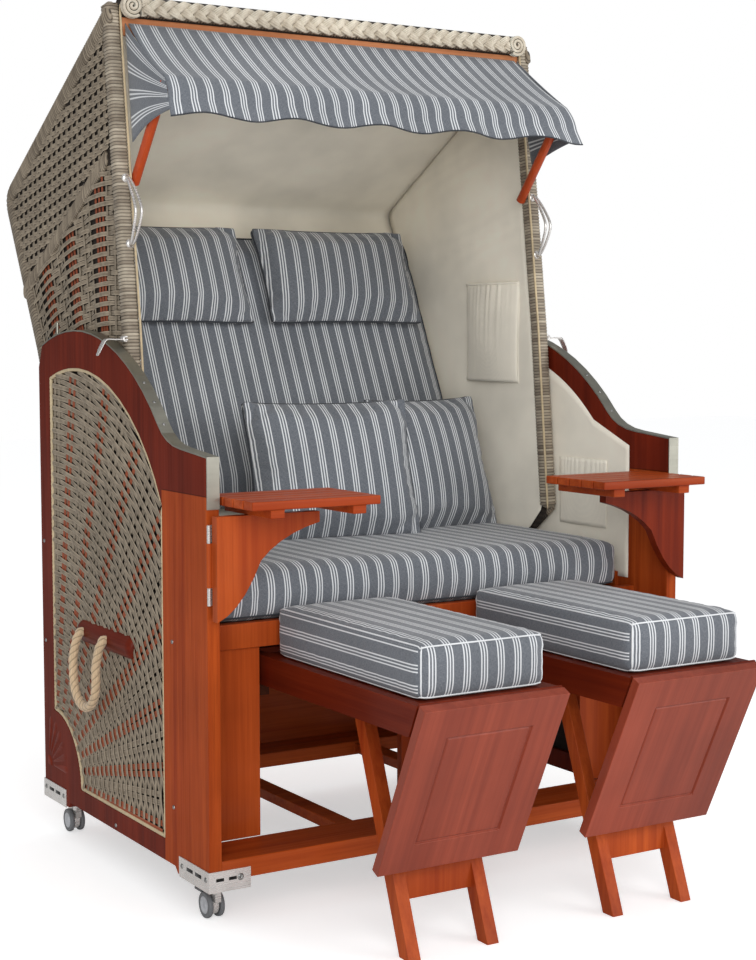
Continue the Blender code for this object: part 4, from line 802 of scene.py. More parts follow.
def rope_route(side):
    """The rope loop's middle line, the same as in the frame."""
    face, bend, radius = OUTER_X + 0.008 + 0.0003, 0.045, ROPE_RADIUS
    front, rear, top, hang, stub = 0.445, 0.565, 0.475, 0.145, 0.007
    slant = math.radians(45)
    middle, half = (front + rear) / 2, (rear - front) / 2
    out = bend * (1 - math.cos(slant)) + radius
    drop = bend * math.sin(slant) + radius
    part = [(face + stub, half, top), (face + stub + radius / 2, half, top - radius / 2)]
    part.append((face + out, half, top - radius - drop))
    bottom = top - hang
    part.append((face + out, half, bottom + half + (part[-1][2] - bottom - half) / 3))
    for i in range(1, 6):
        angle = math.radians(90 * i / 5)
        part.append((face + out, half * math.cos(angle), bottom + half * (1 - math.sin(angle))))
    full = part + [(x, -y, z) for x, y, z in part[-2::-1]]
    loop = smooth_path([(side * x, middle + y, z) for x, y, z in full], 2 * radius)
    route = [Vector((side * face, middle + half, top)), *loop, Vector((side * face, middle - half, top))]
    return [at(*point) for point in route]


class CHAIR_OT_ropes(bpy.types.Operator):
    """Two laid rope loops, three strands each, that hang from the handle bars"""

    bl_idname = "chair.ropes"
    bl_label = "Rope loops"

    def execute(self, context):
        around, strands = 24, 3
        for label, side in SIDES:
            route = rope_route(side)
            line = even_path(route, ROPE_STEP)
            places = frames_along(line, X_AXIS * side + Z_AXIS * 0.2)
            bm, uv = reed_mesh()

            def section(i):
                turn = -math.tau * i * ROPE_STEP / ROPE_LAY
                wide, high = places[i]
                ring = []
                for j in range(around):
                    angle = math.tau * j / around
                    lobe = abs(math.cos((angle - turn) * strands / 2))
                    size = ROPE_RADIUS * (0.80 + 0.20 * lobe ** 0.6)
                    ring.append(line[i] + wide * size * math.cos(angle) + high * size * math.sin(angle))
                return ring

            ringed(bm, uv, line, section)
            rope = piece(f"rope_loop_{label}", bm, "rope", "base", "rope", f"rope_{label}")
        return {"FINISHED"}


# Base: boards


class CHAIR_OT_boards(bpy.types.Operator):
    """The wooden boards of the base, footrests and tables, with rounded edges"""

    bl_idname = "chair.boards"
    bl_label = "Boards"

    def execute(self, context):
        for label, _ in SIDES:
            rounded_boards(f"side_frame_{label}", "side_frame", "base", "dark_wood")
            # The rails' wood has shade painted into its colour.
            rounded_boards(f"footrest_frame_{label}", "rail", f"footrest_{label}", "red_wood")
            rounded_boards(f"footrest_legs_{label}", "front_Z", f"footrest_legs_{label}", "red_wood")
            rounded_boards(f"table_top_{label}", "front_X", f"table_{label}", "red_wood", 0.0030)
            bracket = "front_Z" if label == "left" else "shaded_Z"
            rounded_boards(f"table_bracket_{label}", bracket, f"table_{label}", "red_wood", 0.0014)
        rounded_boards("floor_frame", "front_X", "base", "dark_wood")
        rounded_boards("front_frame", "front_Z", "base", "red_wood")
        for node, look in (
            ("guide_frame", "inner_Y"), ("seat_deck", "inner_Y"),
            ("awning_frame", "arm"), ("hood_shell", "backing"),
        ):
            paint(node, look)
        for label, _ in SIDES:
            for node, look in (
                ("hood_side", "backing"), ("rail_strip", "strip"), ("table_hinge", "steel"),
                ("footrest_rod", "steel"), ("brake_lever", "tyre"),
            ):
                paint(f"{node}_{label}", look)
            for end in ENDS:
                paint(f"corner_bracket_{end}_{label}", "steel")
                paint(f"castor_body_{end}_{label}", "steel")
        return {"FINISHED"}


class CHAIR_OT_footrest_panels(bpy.types.Operator):
    """The footrests' front boards, each with a sunk field and a moulded frame"""

    bl_idname = "chair.footrest_panels"
    bl_label = "Footrest boards"

    def execute(self, context):
        off, thick, long = 0.0046, 0.020, 0.345
        tilt = Matrix.Translation(at(0, *HINGE)) @ Matrix.Rotation(math.radians(FOOT_BOARD_LEAN), 4, "X")
        for label, side in SIDES:
            near, far = sorted((side * 0.0766, side * 0.3757))
            bm = bmesh.new()
            block(bm, (near, -off - thick, -long), (far, -off, 0.004))
            bm.faces.ensure_lookup_table()
            face = min(bm.faces, key=lambda f: f.calc_center_median().y)
            for wide, deep in ((0.060, 0), (0.0010, -0.0040), (0.0026, 0), (0.0022, 0.0028), (0.030, 0)):
                bmesh.ops.inset_region(bm, faces=[face], thickness=wide, depth=deep, use_even_offset=True)
            bmesh.ops.transform(bm, matrix=tilt, verts=bm.verts)
            panel = f"footrest_panel_{label}"
            board = piece(f"footrest_board_{label}", bm, "foot_board", panel, "red_wood", panel)
            round_edges(board, 0.0016, 30)
        return {"FINISHED"}


# Base: woven sides


def arc(centre, radius, start, end, steps):
    """Points on an arc, between two angles in degrees."""
    angles = [math.radians(start + (end - start) * i / steps) for i in range(steps + 1)]
    return [(centre[0] + radius * math.cos(a), centre[1] + radius * math.sin(a)) for a in angles]


def window_outline(inset=0.0):
    """The side frame's window: arch, stile, carved corner, bottom rail and post."""
    radius = ARCH_RADIUS - ARCH_DEPTH - inset
    front, rear, low = POST_WIDTH + inset, DEPTH - STILE_WIDTH - inset, WINDOW_LOW + inset
    start = math.degrees(math.acos((front - PIVOT[0]) / radius))
    end = math.degrees(math.acos((rear - PIVOT[0]) / radius))
    corner = arc((DEPTH - STILE_WIDTH, WINDOW_LOW), FAN_RADIUS + inset, 90, 180, 10)
    corner[0], corner[-1] = (rear, corner[0][1]), (corner[-1][0], low)
    return arc(PIVOT, radius, start, end, 30) + corner + [(front, low)]


def woven_field(reeds, accent_reeds, place, rows, knots, inside, width, accents=(), stakes=(),
                stake_width=0.011, stake_rows=()):
    """Weavers that run along each row and pass the stakes over and under.

    place(s, row, height) gives a point, knots(row) the (s, height) pairs that a weaver passes through, and
    inside(point) whether it is in the field. Stakes run across the rows at their own s.
    """
    def lay(target, samples, stake, wide, crown, share):
        for run in runs(samples, inside):
            points = [place(*sample) for sample in run]
            outward = [(place(s, t, 0.01) - place(s, t, 0)).normalized() for s, t, _ in run]
            across = [(place(s, t + 0.001, h) - place(s, t - 0.001, h)).normalized() for s, t, h in run]
            if stake:
                across = [ahead.cross(out).normalized() for ahead, out in zip(across, outward)]
            strip_of(*target, points, across, outward, wide, crown, share)

    for number, row in enumerate(rows):
        samples = []
        pairs = knots(number)
        for (s0, h0), (s1, h1) in zip(pairs, pairs[1:]):
            for step in range(4):
                t = step / 4
                ease = 0.5 - 0.5 * math.cos(math.pi * t)
                samples.append((s0 + (s1 - s0) * t, row, h0 + (h1 - h0) * ease))
        lay(reeds, samples, False, width, width * 0.16, number * 0.37)
    for number, stake in enumerate(stakes):
        target = accent_reeds if number in accents else reeds
        lay(target, [(stake, t, 0.0) for t in stake_rows], True, stake_width, 0.0008, number * 0.61)


class CHAIR_OT_side_weave(bpy.types.Operator):
    """The woven panels of the side frames: weavers in arcs about the carved corner, and their cane edging"""

    bl_idname = "chair.side_weave"
    bl_label = "Woven sides"

    def execute(self, context):
        reed = context.scene.chair_reed
        inside_window = in_outline(window_outline(0.004))
        first_stake, step, first_row, last_row = -8, 5.7, 0.10, 0.96
        weave_x, backing_x, cane_x = 0.5435 + 0.0032, 0.5362, 0.5465
        count = int(108 / step) + 1
        angles = [first_stake + step * k for k in range(count)]
        rows = [first_row + reed.pitch * i for i in range(int((last_row - first_row) / reed.pitch))]

        def polar(s, row):
            angle = math.radians(s)
            return FAN_CORNER[0] - row * math.sin(angle), FAN_CORNER[1] + row * math.cos(angle)

        for label, side in SIDES:
            reeds, accents = reed_mesh(), reed_mesh()
            woven_field(
                reeds, accents, lambda s, row, height: at(side * (weave_x + height), *polar(s, row)), rows,
                lambda number: [(angle, reed.rise * swing(k, number)) for k, angle in enumerate(angles)],
                lambda s, row: inside_window(*polar(s, row)), reed.width,
                accents=[i for i in range(2 * count) if i // 2 % 2],
                stakes=[angle + off for angle in angles for off in (-0.85, 0.85)], stake_width=0.0115,
                stake_rows=[first_row + 0.02 * i for i in range(45)],
            )
            finish_reeds(f"side_reeds_{label}", reeds, f"side_accent_reeds_{label}", accents, "base")
            # A dark sheet behind the reeds, coloured with the backing's painted shade.
            bm = bmesh.new()
            rim = [bm.verts.new(at(side * backing_x, y, z)) for y, z in window_outline(-0.004)]
            bmesh.ops.contextual_create(bm, geom=rim)
            bmesh.ops.solidify(bm, geom=list(bm.faces), thickness=0.0045)
            bmesh.ops.recalc_face_normals(bm, faces=bm.faces)
            node = f"side_weave_{label}"
            piece(f"side_backing_{label}", bm, "backing", "base", "wicker", node, smooth=False)
            bm, uv = reed_mesh()
            line = [at(side * cane_x, y, z) for y, z in window_outline(0.0035)]
            wound_roll(bm, uv, line + line[:1], X_AXIS, 0.0042, 0.0042, 0.009, 2.0, 8, 0.0005)
            piece(f"window_cane_{label}", bm, "cane", "base", "wicker")
        return {"FINISHED"}


class CHAIR_OT_side_details(bpy.types.Operator):
    """The carved corners, handle bars and screws of the base, and its rear weave"""

    bl_idname = "chair.side_details"
    bl_label = "Carving, handle bars, screws and rear weave"

    def execute(self, context):
        for label, side in SIDES:
            self.carved_fan(label, side)
            self.handle_bar(label, side)
            self.frame_screws(label, side)
        self.rear_weave()
        return {"FINISHED"}

    def carved_fan(self, label, side):
        """Six raised leaves about a quarter disc."""
        bm = reed_mesh()[0]
        start, root, reach, disc = (0.792, 0.150), 0.026, 0.112, 0.020
        leaves, first_leaf, leaf_step, half_leaf = 6, 99, 15.5, math.radians(5.9)

        def on_face(x, radius, angle):
            return at(side * x, start[0] + radius * math.cos(angle), start[1] + radius * math.sin(angle))

        for i in range(leaves):
            middle = math.radians(first_leaf + leaf_step * i)
            for vert in bmesh.ops.create_grid(bm, x_segments=10, y_segments=6, size=1)["verts"]:
                u, v = (vert.co.x + 1) / 2, vert.co.y
                radius = root + (reach - root) * u - 0.012 * v * v * u
                angle = middle + half_leaf * v * (0.5 + 0.5 * u ** 0.5)
                rise = 0.0022 * (1 - v * v) ** 0.6 * min(1, 8 * u, 8 * (1 - u)) if abs(v) < 1 else 0
                vert.co = on_face(OUTER_X - 0.0006 + rise, radius, angle)
        for vert in bmesh.ops.create_grid(bm, x_segments=8, y_segments=12, size=1)["verts"]:
            u, angle = (vert.co.x + 1) / 2, math.radians(135 + 50 * vert.co.y)
            rise = 0.0026 * (1 - u ** 4) ** 0.5
            vert.co = on_face(OUTER_X - 0.0004 + rise, disc * u, angle)
        bmesh.ops.remove_doubles(bm, verts=bm.verts, dist=0.00001)
        bmesh.ops.reverse_faces(bm, faces=[f for f in bm.faces if f.normal.x * side < 0])
        piece(f"carved_fan_{label}", bm, "frame_Y", "base", "dark_wood")

    def handle_bar(self, label, side):
        """A turned bar with rounded ends, made a little flatter across the chair."""
        bm = reed_mesh()[0]
        end = [(0, 0.136), (0.011, 0.136), (0.018, 0.1335), (0.0225, 0.128), (0.0240, 0.118)]
        middle, flat = at(side * 0.541, 0.467, 0.473), 0.82
        bar = lathe(bm, end + [(r, -h) for r, h in end[::-1]], facing((0, 1, 0), middle), 28)
        bmesh.ops.scale(bm, vec=(flat, 1, 1), space=Matrix.Translation(-middle), verts=bar)
        piece(f"handle_block_{label}", bm, "frame_Y", "base", "dark_wood")

    def frame_screws(self, label, side):
        """The screws of the boards, and the small ones along the steel strip."""
        bm = reed_mesh()[0]
        board_screws = (0.150, 0.515), (0.798, 0.422), (0.426, 0.099), (0.150, 0.200), (0.798, 0.640)
        strip_x, strip_angles, small = 0.5375, (131, 137, 125), 0.0034
        for y, z in board_screws:
            screw(bm, at(side * OUTER_X, y, z), X_AXIS * side)
        for angle in strip_angles:
            y = PIVOT[0] + STRIP_RADIUS * math.cos(math.radians(angle))
            z = PIVOT[1] + STRIP_RADIUS * math.sin(math.radians(angle))
            screw(bm, at(side * strip_x, y, z), Vector((0, y - PIVOT[0], z - PIVOT[1])), small)
        piece(f"side_screws_{label}", bm, "screw", "base", "steel")

    def rear_weave(self):
        """The weave in the rear wall's opening, with every fifth stake red-brown."""
        face_y, low, pitch, rows, rise, width = 0.8035, 0.362, 0.0118, 12, 0.0022, 0.0098
        first_stake, step, count = -0.486, 0.030, 33
        reeds, accents = reed_mesh(), reed_mesh()
        places = [first_stake + step * k for k in range(count)]
        woven_field(
            reeds, accents, lambda s, row, height: at(s, face_y + height, row),
            [low + pitch * i for i in range(rows)],
            lambda number: [(place, rise * swing(k, number)) for k, place in enumerate(places)],
            lambda s, row: True, width, accents=range(2, count, 5), stakes=places,
            stake_rows=[0.357 + 0.014 * i for i in range(11)],
        )
        finish_reeds("rear_reeds", reeds, "rear_accent_reeds", accents, "base", "rear_weave")


def screw(bm, where, outward, radius=0.0042):
    """A round screw head with a dimple in the middle."""
    profile = [(0, 0.0010), (radius * 0.22, 0.0010), (radius * 0.24, 0.0018), (radius * 0.75, 0.0015),
               (radius, 0.0003), (radius, -0.0010)]
    lathe(bm, profile, facing(outward, where), 12)


# Hood weave


def hood_outline():
    """The outside of the roof and back, with a rounded shoulder."""
    into = (Vector(POST_HEAD) - Vector(SHOULDER)).normalized()
    out = (Vector(KNEE) - Vector(SHOULDER)).normalized()
    rounding = 0.050
    reach = rounding / math.tan(into.angle(out) / 2)
    start, end = Vector(SHOULDER) + into * reach, Vector(SHOULDER) + out * reach
    corner = [
        (1 - t) ** 2 * start + 2 * t * (1 - t) * Vector(SHOULDER) + t * t * end
        for t in (i / 6 for i in range(7))
    ]
    return [Vector(POST_HEAD), *corner, Vector(KNEE), Vector(HEEL)]


def inset_line(points, distance):
    """An open line moved inwards by the distance, with its corners kept sharp."""
    moved = []
    for i, here in enumerate(points):
        before = (here - points[i - 1]).normalized() if i else None
        after = (points[i + 1] - here).normalized() if i + 1 < len(points) else None
        before, after = before or after, after or before
        normal = (Vector((-before.y, before.x)) + Vector((-after.y, after.x))).normalized()
        moved.append(here - normal * distance / normal.dot(Vector((-before.y, before.x))))
    return moved


def line_at(points, z):
    """Where a line of (y, z) points lies at a height."""
    for a, b in zip(points, points[1:]):
        if min(a[1], b[1]) <= z <= max(a[1], b[1]) and a[1] != b[1]:
            return a[0] + (b[0] - a[0]) * (z - a[1]) / (b[1] - a[1])
    return points[-1][0] if z < min(points[0][1], points[-1][1]) else points[0][0]


def band(y):
    """The height of the wound band that crosses the hood's side."""
    height, slope, start = 1.403, 0.548, 0.575
    return height - slope * (y - start)


def course(s, row):
    """The rows above the band fall away towards the back."""
    slope, start = 0.21, 0.495
    return row - slope * (s - start)


class CHAIR_OT_hood_sides(bpy.types.Operator):
    """The hood's woven sides: open weave above the wound band, and floats over red-brown reeds below it"""

    bl_idname = "chair.hood_sides"
    bl_label = "Woven hood sides"

    def execute(self, context):
        for label, side in SIDES:
            self.weave(label, side)
            self.rolls(label, side)
        return {"FINISHED"}

    def weave(self, label, side):
        rim = [tuple(p) for p in inset_line(hood_outline(), 0.036)]
        post = [(y + 0.021, z) for y, z in (POST_FOOT, POST_MID)]
        inside = in_outline([*post, (0.513, 1.690), *rim[1:], (0.60, 0.60), SILL])
        face, step, rise, lift = HOOD_X + 0.0034, 0.029, 0.0030, 0.0050
        first_stake, first_row, pair_pitch, pair_gap = 0.40, 1.20, 0.0262, 0.0082
        reeds, accents = reed_mesh(), reed_mesh()

        woven_field(
            reeds, accents, lambda s, row, height: at(side * (face + height), s, course(s, row)),
            [first_row + pair_pitch * (i // 2) + pair_gap * (i % 2) for i in range(50)],
            lambda number: [
                (first_stake + step / 2 * k, 0.0026 - 0.0014 * swing(k, number)) for k in range(52)
            ],
            lambda s, row: inside(s, course(s, row)) and course(s, row) > band(s) + 0.012,
            0.0088, stakes=[first_stake + step * k for k in range(26)], stake_width=0.0130,
            stake_rows=[1.15 + 0.02 * i for i in range(35)],
        )

        ribs = [-14, -11.6, -9.2, -6.8, -4.4, -2.2, 0, 2.2, 7.6, 9.8, 12.0, 16.9, 19.0, 21.2, 26.4, 28.6,
                30.8, 36.0, 38.0]
        gaps = [(low, high) for low, high in zip(ribs, ribs[1:]) if high - low > 4]
        rib_rows = [0.24 + 0.02 * i for i in range(46)]

        def polar(s, row):
            angle = math.radians(s)
            return RIB_CENTRE[0] + row * math.sin(angle), RIB_CENTRE[1] + row * math.cos(angle)

        def lower(s, row, height):
            return at(side * (face + height), *polar(s, row))

        def below(s, row):
            y, z = polar(s, row)
            return inside(y, z) and z < band(y) - 0.014

        def bridging(number):
            """Weavers that pass over the gaps between the ribs."""
            found = []
            for k, angle in enumerate(ribs):
                found.append((angle, rise * swing(k, number)))
                for low, high in gaps:
                    if low == angle:
                        found += [(low + 1.1, lift), (high - 1.1, lift)]
            return found

        def narrow(number):
            return [(angle, rise * swing(k, number) if k % 3 else -rise) for k, angle in enumerate(ribs)]

        woven_field(
            reeds, accents, lower, [0.24 + 0.0200 * i for i in range(44)], bridging, below, 0.0092,
            stakes=ribs, stake_width=0.0085, stake_rows=rib_rows,
        )
        woven_field(
            reeds, accents, lower, [0.25 + 0.0200 * i for i in range(44)], narrow,
            lambda s, row: below(s, row) and not any(low + 0.8 < s < high - 0.8 for low, high in gaps),
            0.0085,
        )
        woven_field(
            reeds, accents, lower, [], bridging, below, 0.01, accents=range(12),
            stakes=[low + off for low, _ in gaps for off in (1.2, 2.2, 3.2)], stake_width=0.0105,
            stake_rows=rib_rows,
        )
        finish_reeds(f"hood_reeds_{label}", reeds, f"hood_accent_reeds_{label}", accents, "hood")

    def rolls(self, label, side):
        def line(out, points):
            return [at(side * (HOOD_X + out), y, z) for y, z in points]

        bm, uv = reed_mesh()
        edge = line(0.0014, inset_line(hood_outline(), 0.019))
        wound_roll(bm, uv, edge, X_AXIS, 0.0195, 0.0082, 0.0072, 2.4, 12)
        crossing = line(0.003, [(y, band(y)) for y in (0.505, 0.74, 0.985)])
        wound_roll(bm, uv, crossing, X_AXIS, 0.0185, 0.0066, 0.0070, 2.2, 10, ways=(Z_AXIS, X_AXIS))
        lower_edge = line(0.001, [(y + 0.006, z + 0.009) for y, z in (POST_FOOT, SILL, (0.60, 0.580))])
        wound_roll(bm, uv, lower_edge, X_AXIS, 0.010, 0.006, 0.0066, 2.2, 8)
        piece(f"hood_rolls_{label}", bm, "wound_dark", "hood", "wicker")

        bm, uv = reed_mesh()
        winding = line(-0.0082, [(y + 0.0155, z) for y, z in POST_LINE])
        winding[-1] = winding[-1] + (winding[-1] - winding[-2]).normalized() * 0.006
        wound_roll(bm, uv, winding, X_AXIS, 0.0164, 0.0160, 0.0068, 3.4, 16)
        piece(f"post_winding_{label}", bm, "wound", "hood", "wicker")

        bm, uv = reed_mesh()
        seam = line(-0.0225, [(y - 0.0016, z) for y, z in POST_LINE])
        wound_roll(bm, uv, seam, X_AXIS, 0.0026, 0.0026, 0.012, 2.0, 8, 0.0002)
        piece(f"post_piping_{label}", bm, "cane", "hood", "lining")


class CHAIR_OT_hood_back(bpy.types.Operator):
    """The woven roof and back of the hood"""

    bl_idname = "chair.hood_back"
    bl_label = "Woven roof and back"

    def execute(self, context):
        line = even_path([Vector((p.x, p.y, 0)) for p in hood_outline()], 0.0125)
        normals = []
        for i in range(len(line)):
            ahead = (line[min(i + 1, len(line) - 1)] - line[max(i - 1, 0)]).normalized()
            normals.append(Vector((-ahead.y, ahead.x, 0)))

        def place(s, row, height):
            i = min(max(row, 0), len(line) - 1.001)
            low = int(i)
            here = line[low].lerp(line[low + 1], i - low)
            out = normals[low].lerp(normals[low + 1], i - low).normalized() * (0.0032 + height)
            return at(s, here.x + out.x, here.y + out.y)

        step = 0.0293
        stakes = [-0.498 + step * k for k in range(int(1.0 / step) + 1)]
        reeds, accents = reed_mesh(), reed_mesh()
        woven_field(
            reeds, accents, place, [i + 0.5 for i in range(1, len(line) - 1)],
            lambda number: [(stake, 0.0028 * swing(k, number)) for k, stake in enumerate(stakes)],
            lambda s, row: True, 0.0104, accents=range(3, len(stakes), 6), stakes=stakes,
            stake_width=0.010, stake_rows=[float(i) for i in range(len(line))],
        )
        finish_reeds("roof_reeds", reeds, "roof_accent_reeds", accents, "hood")
        return {"FINISHED"}


class CHAIR_OT_braid(bpy.types.Operator):
    """The thick three-strand braid on the hood's front edge, with a curl at each end"""

    bl_idname = "chair.braid"
    bl_label = "Front braid"

    def execute(self, context):
        bm = bmesh.new()
        block(bm, at(-0.489, 0.4940, 1.6830), at(0.489, 0.5110, 1.7180), 0.0015)
        piece("hood_beam", bm, "beam", "hood", "wicker", "hood_front_frame")
        bm, uv = reed_mesh()
        wound_roll(bm, uv, [at(x, 0.4960, 1.7360) for x in (-0.490, 0.490)], Z_AXIS, 0.0165, 0.0165, 0.007)
        piece("hood_front_roll", bm, "wound_dark", "hood", "wicker")
        bm, uv = reed_mesh()
        half, wave, low, step = 0.452, 0.086, 1.7385, 0.004
        up_swing, out_swing, reed_gap, reed_radius = 0.0125, 0.0062, 0.0046, 0.0031
        for strand in range(3):
            for reed in (-1.5, -0.5, 0.5, 1.5):
                points = []
                for i in range(int(2 * half / step) + 1):
                    x = -half + step * i
                    turn = math.tau * (x / wave + strand / 3)
                    spread = 0.35 + 0.65 * abs(math.cos(turn))
                    up = up_swing * math.sin(turn) + reed * reed_gap * spread
                    out = out_swing * math.sin(2 * turn) + 0.0012 * (1.5 - abs(reed))
                    points.append(at(x, 0.478 - out, low + up))
                round_tube(bm, uv, points, reed_radius, Y_AXIS, 7)
        curl_x, turns, last, eye, growth = 0.4715, 2.6, 63, 0.0022, 0.0200
        for side in (-1, 1):
            for row in range(3):
                points = []
                for i in range(last + 1):
                    share = i / last
                    angle = math.tau * turns * share + math.pi / 2
                    radius = eye + growth * share
                    x = side * (curl_x - radius * math.cos(angle))
                    points.append(at(x, 0.4765 + 0.0055 * (row - 1), low + radius * math.sin(angle)))
                round_tube(bm, uv, points, 0.0033, Y_AXIS, 7)
        piece("front_braid", bm, "braid", "hood", "wicker")
        return {"FINISHED"}


# Lining


def laid_sheet(columns, rows, place):
    """A sheet of cloth with its own map: place(u, v) gives the point for u and v from 0 to 1."""
    bm = bmesh.new()
    uv = bm.loops.layers.uv.new("cloth")
    made = bmesh.ops.create_grid(bm, x_segments=columns, y_segments=rows, size=1)["verts"]
    across = (place(1, 0.5) - place(0, 0.5)).length
    down = sum((place(0.5, (k + 1) / 20) - place(0.5, k / 20)).length for k in range(20))
    where = {}
    for vert in made:
        u, v = (vert.co.x + 1) / 2, (vert.co.y + 1) / 2
        where[vert] = (u * across, v * down)
        vert.co = place(u, v)
    map_faces(faces_of(made), uv, where)
    return bm


def hang(obj, held, rests_on, thickness, width=None, drop=None):
    """Gives a cloth its thickness."""
    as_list(rests_on)
    solid = obj.modifiers.new("Cloth thickness", "SOLIDIFY")
    solid.thickness, solid.offset = thickness, 0.0


def lining_piece(name, columns, rows, place, side, body, *nodes):
    """A piece of lining that faces away from its side of the chair."""
    bm = laid_sheet(columns, rows, place)
    bmesh.ops.reverse_faces(bm, faces=[f for f in bm.faces if f.normal.x * side > 0])
    return piece(name, bm, "lining", body, "lining", *nodes)


def pouch(u, v):
    """The gathered cloth of the pocket on the hood's right side."""
    front, rear, low, high, face, depth = 0.495, 0.701, 0.975, 1.204, 0.4955, 0.0165
    y = front + (rear - front) * u
    z = low + (high - low) * v
    swell = math.sin(math.pi * u) ** 0.6 * (0.35 + 0.65 * math.sin(math.pi * min(1, 0.15 + 0.75 * v)))
    pleat = (0.0024 * math.sin(u * math.pi * (7 + 3 * u)) + 0.0009 * math.sin(u * 61 + 2)) * v ** 1.5
    pleat *= math.sin(math.pi * u)
    return at(face - depth * swell - abs(pleat), y + 0.004 * math.sin(v * 5) * (0.5 - u), z)


class CHAIR_OT_lining(bpy.types.Operator):
    """The beige lining inside the hood and the base, with its pockets"""

    bl_idname = "chair.lining"
    bl_label = "Lining"

    def execute(self, context):
        self.hood_cloth()
        for label, side in SIDES:
            self.hood_flank(label, side)
            self.base_flank(label, side)
        self.hood_pocket()
        for label, side in SIDES:
            self.base_pocket(label, side)
        return {"FINISHED"}

    def hood_cloth(self):
        """One cloth along the roof and down the back."""
        inner = [tuple(p) for p in inset_line(hood_outline(), 0.0205)]
        inner[0] = (0.514, inner[0][1] - 0.0163)
        path = even_path([Vector((y, z, 0)) for y, z in inner], 0.012)

        def wall(u, v):
            i = min(v * (len(path) - 1), len(path) - 1.001)
            here = path[int(i)].lerp(path[int(i) + 1], i - int(i))
            pull = 0.0016 * math.sin(9 * u + 5 * v) * math.sin(3.1 * v * math.pi)
            return at((2 * u - 1) * LINING_X, here.x - 0.001, here.y - 0.0012 - abs(pull))

        cloth = lining_piece("hood_lining_cloth", 40, len(path) - 1, wall, 0, "hood", "hood_lining")
        hang(cloth, "stretched", ["hood_shell"], 0.0010, width=2 * LINING_X)

    def hood_flank(self, label, side):
        back = [tuple(p) for p in inset_line(hood_outline(), 0.0225)]
        back[0] = (0.514, 1.7050)
        foot, middle = ((y + 0.028, z) for y, z in (POST_FOOT, POST_MID))
        post = [HEEL, (SILL[0] + 0.006, SILL[1]), foot, middle, back[0]]
        low, high = 0.586, 1.7045

        def flank(u, v):
            z = low + (high - low) * v
            front = line_at(post, z)
            rear = max(line_at(back, z), front + 0.001)
            y = front + (rear - front) * u
            ease = 0.0010 * math.sin(7 * y + 11 * z) + 0.0008 * math.sin(19 * z)
            return at(side * (LINING_X - 0.001 - abs(ease)), y, z)

        cloth = lining_piece(f"hood_flank_lining_{label}", 24, 80, flank, side, "hood")
        hang(cloth, "stretched", [f"hood_side_{label}"], 0.0010, drop=1.119)

    def base_flank(self, label, side):
        """The cloth inside the side frame, up to the arch and the front step of its outline."""
        front, rear, low, radius = 0.126, 0.763, 0.560, 0.507
        step_start, step_end, step_height, step_slope = 0.124, 0.26, 0.846, 0.41

        def flank(u, v):
            y = front + (rear - front) * u
            top = PIVOT[1] + math.sqrt(max(0.0, radius ** 2 - (y - PIVOT[0]) ** 2))
            if y < step_end:
                top = max(top, step_height + step_slope * (y - step_start))
            ease = 0.0004 * math.sin(15 * y + 9 * v)
            return at(side * (INNER_X - 0.0006 - abs(ease)), y, low + (top - low) * v)

        cloth = lining_piece(f"base_flank_lining_{label}", 46, 20, flank, side, "base")
        hang(cloth, "stretched", [f"side_frame_{label}"], 0.0010, width=0.637)

    def hood_pocket(self):
        pocket = lining_piece("hood_pocket", 54, 30, pouch, 1, "hood")
        hang(pocket, "gathered", ["hood_side_right"], 0.0012, drop=0.235)
        bm, uv = reed_mesh()
        round_tube(bm, uv, [pouch(i / 40, 1.0) for i in range(41)], 0.0030, Z_AXIS, 8)
        piece("hood_pocket_hem", bm, "lining", "hood", "lining")
        bm, uv = reed_mesh()
        corners = ((0.7025, 1.206), (0.7025, 0.973), (0.4935, 0.973), (0.4935, 1.206))
        line = even_path([at(0.4960, y, z) for y, z in corners], 0.008)
        round_tube(bm, uv, line, 0.0016, Vector((0.2, 0.5, 0.7)), 6)
        piece("hood_pocket_stitching", bm, "lining", "hood", "lining")

    def base_pocket(self, label, side):
        def elastic(u, v):
            gather = 0.0016 * math.sin(u * math.pi * 11 + 1.5 * math.sin(7 * u)) * v ** 2
            swell = 0.0050 * math.sin(math.pi * u) * math.sin(math.pi * (0.1 + 0.8 * v))
            return at(side * (INNER_X - 0.0024 - swell - abs(gather)), 0.200 + 0.166 * u, 0.660 + 0.150 * v)

        pocket = lining_piece(f"base_pocket_{label}", 60, 16, elastic, side, "base")
        hang(pocket, "gathered", [f"side_frame_{label}"], 0.0010, drop=0.15)
        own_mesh(pocket)


# Padded pieces


def local_form(size, crown, pull, rim, pillow=False):
    """The cushion's shape before it swells, about its own centre, X by Y with its crown up Z."""
    bm = bmesh.new()
    bmesh.ops.create_cube(bm, size=2)
    bmesh.ops.subdivide_edges(bm, edges=bm.edges, cuts=11, use_grid_fill=True)
    half = [v / 2 for v in size]
    for vert in bm.verts:
        x, y, z = vert.co
        if pillow:
            body = (1 - abs(x) ** 2.6) ** 0.62 * (1 - abs(y) ** 2.6) ** 0.62 if max(abs(x), abs(y)) < 1 else 0
            height = z * (rim + (1 - rim) * body)
            narrow, short = pull * (1 - abs(y) ** 2.2), pull * (1 - abs(x) ** 2.2)
        else:
            height = z * (1 - crown + crown * (1 - x ** 4) * (1 - y ** 4))
            narrow, short = pull * (1 - y * y) * abs(x), pull * (1 - x * x) * abs(y)
        vert.co = (x * (1 - narrow) * half[0], y * (1 - short) * half[1], height * half[2])
    return bm


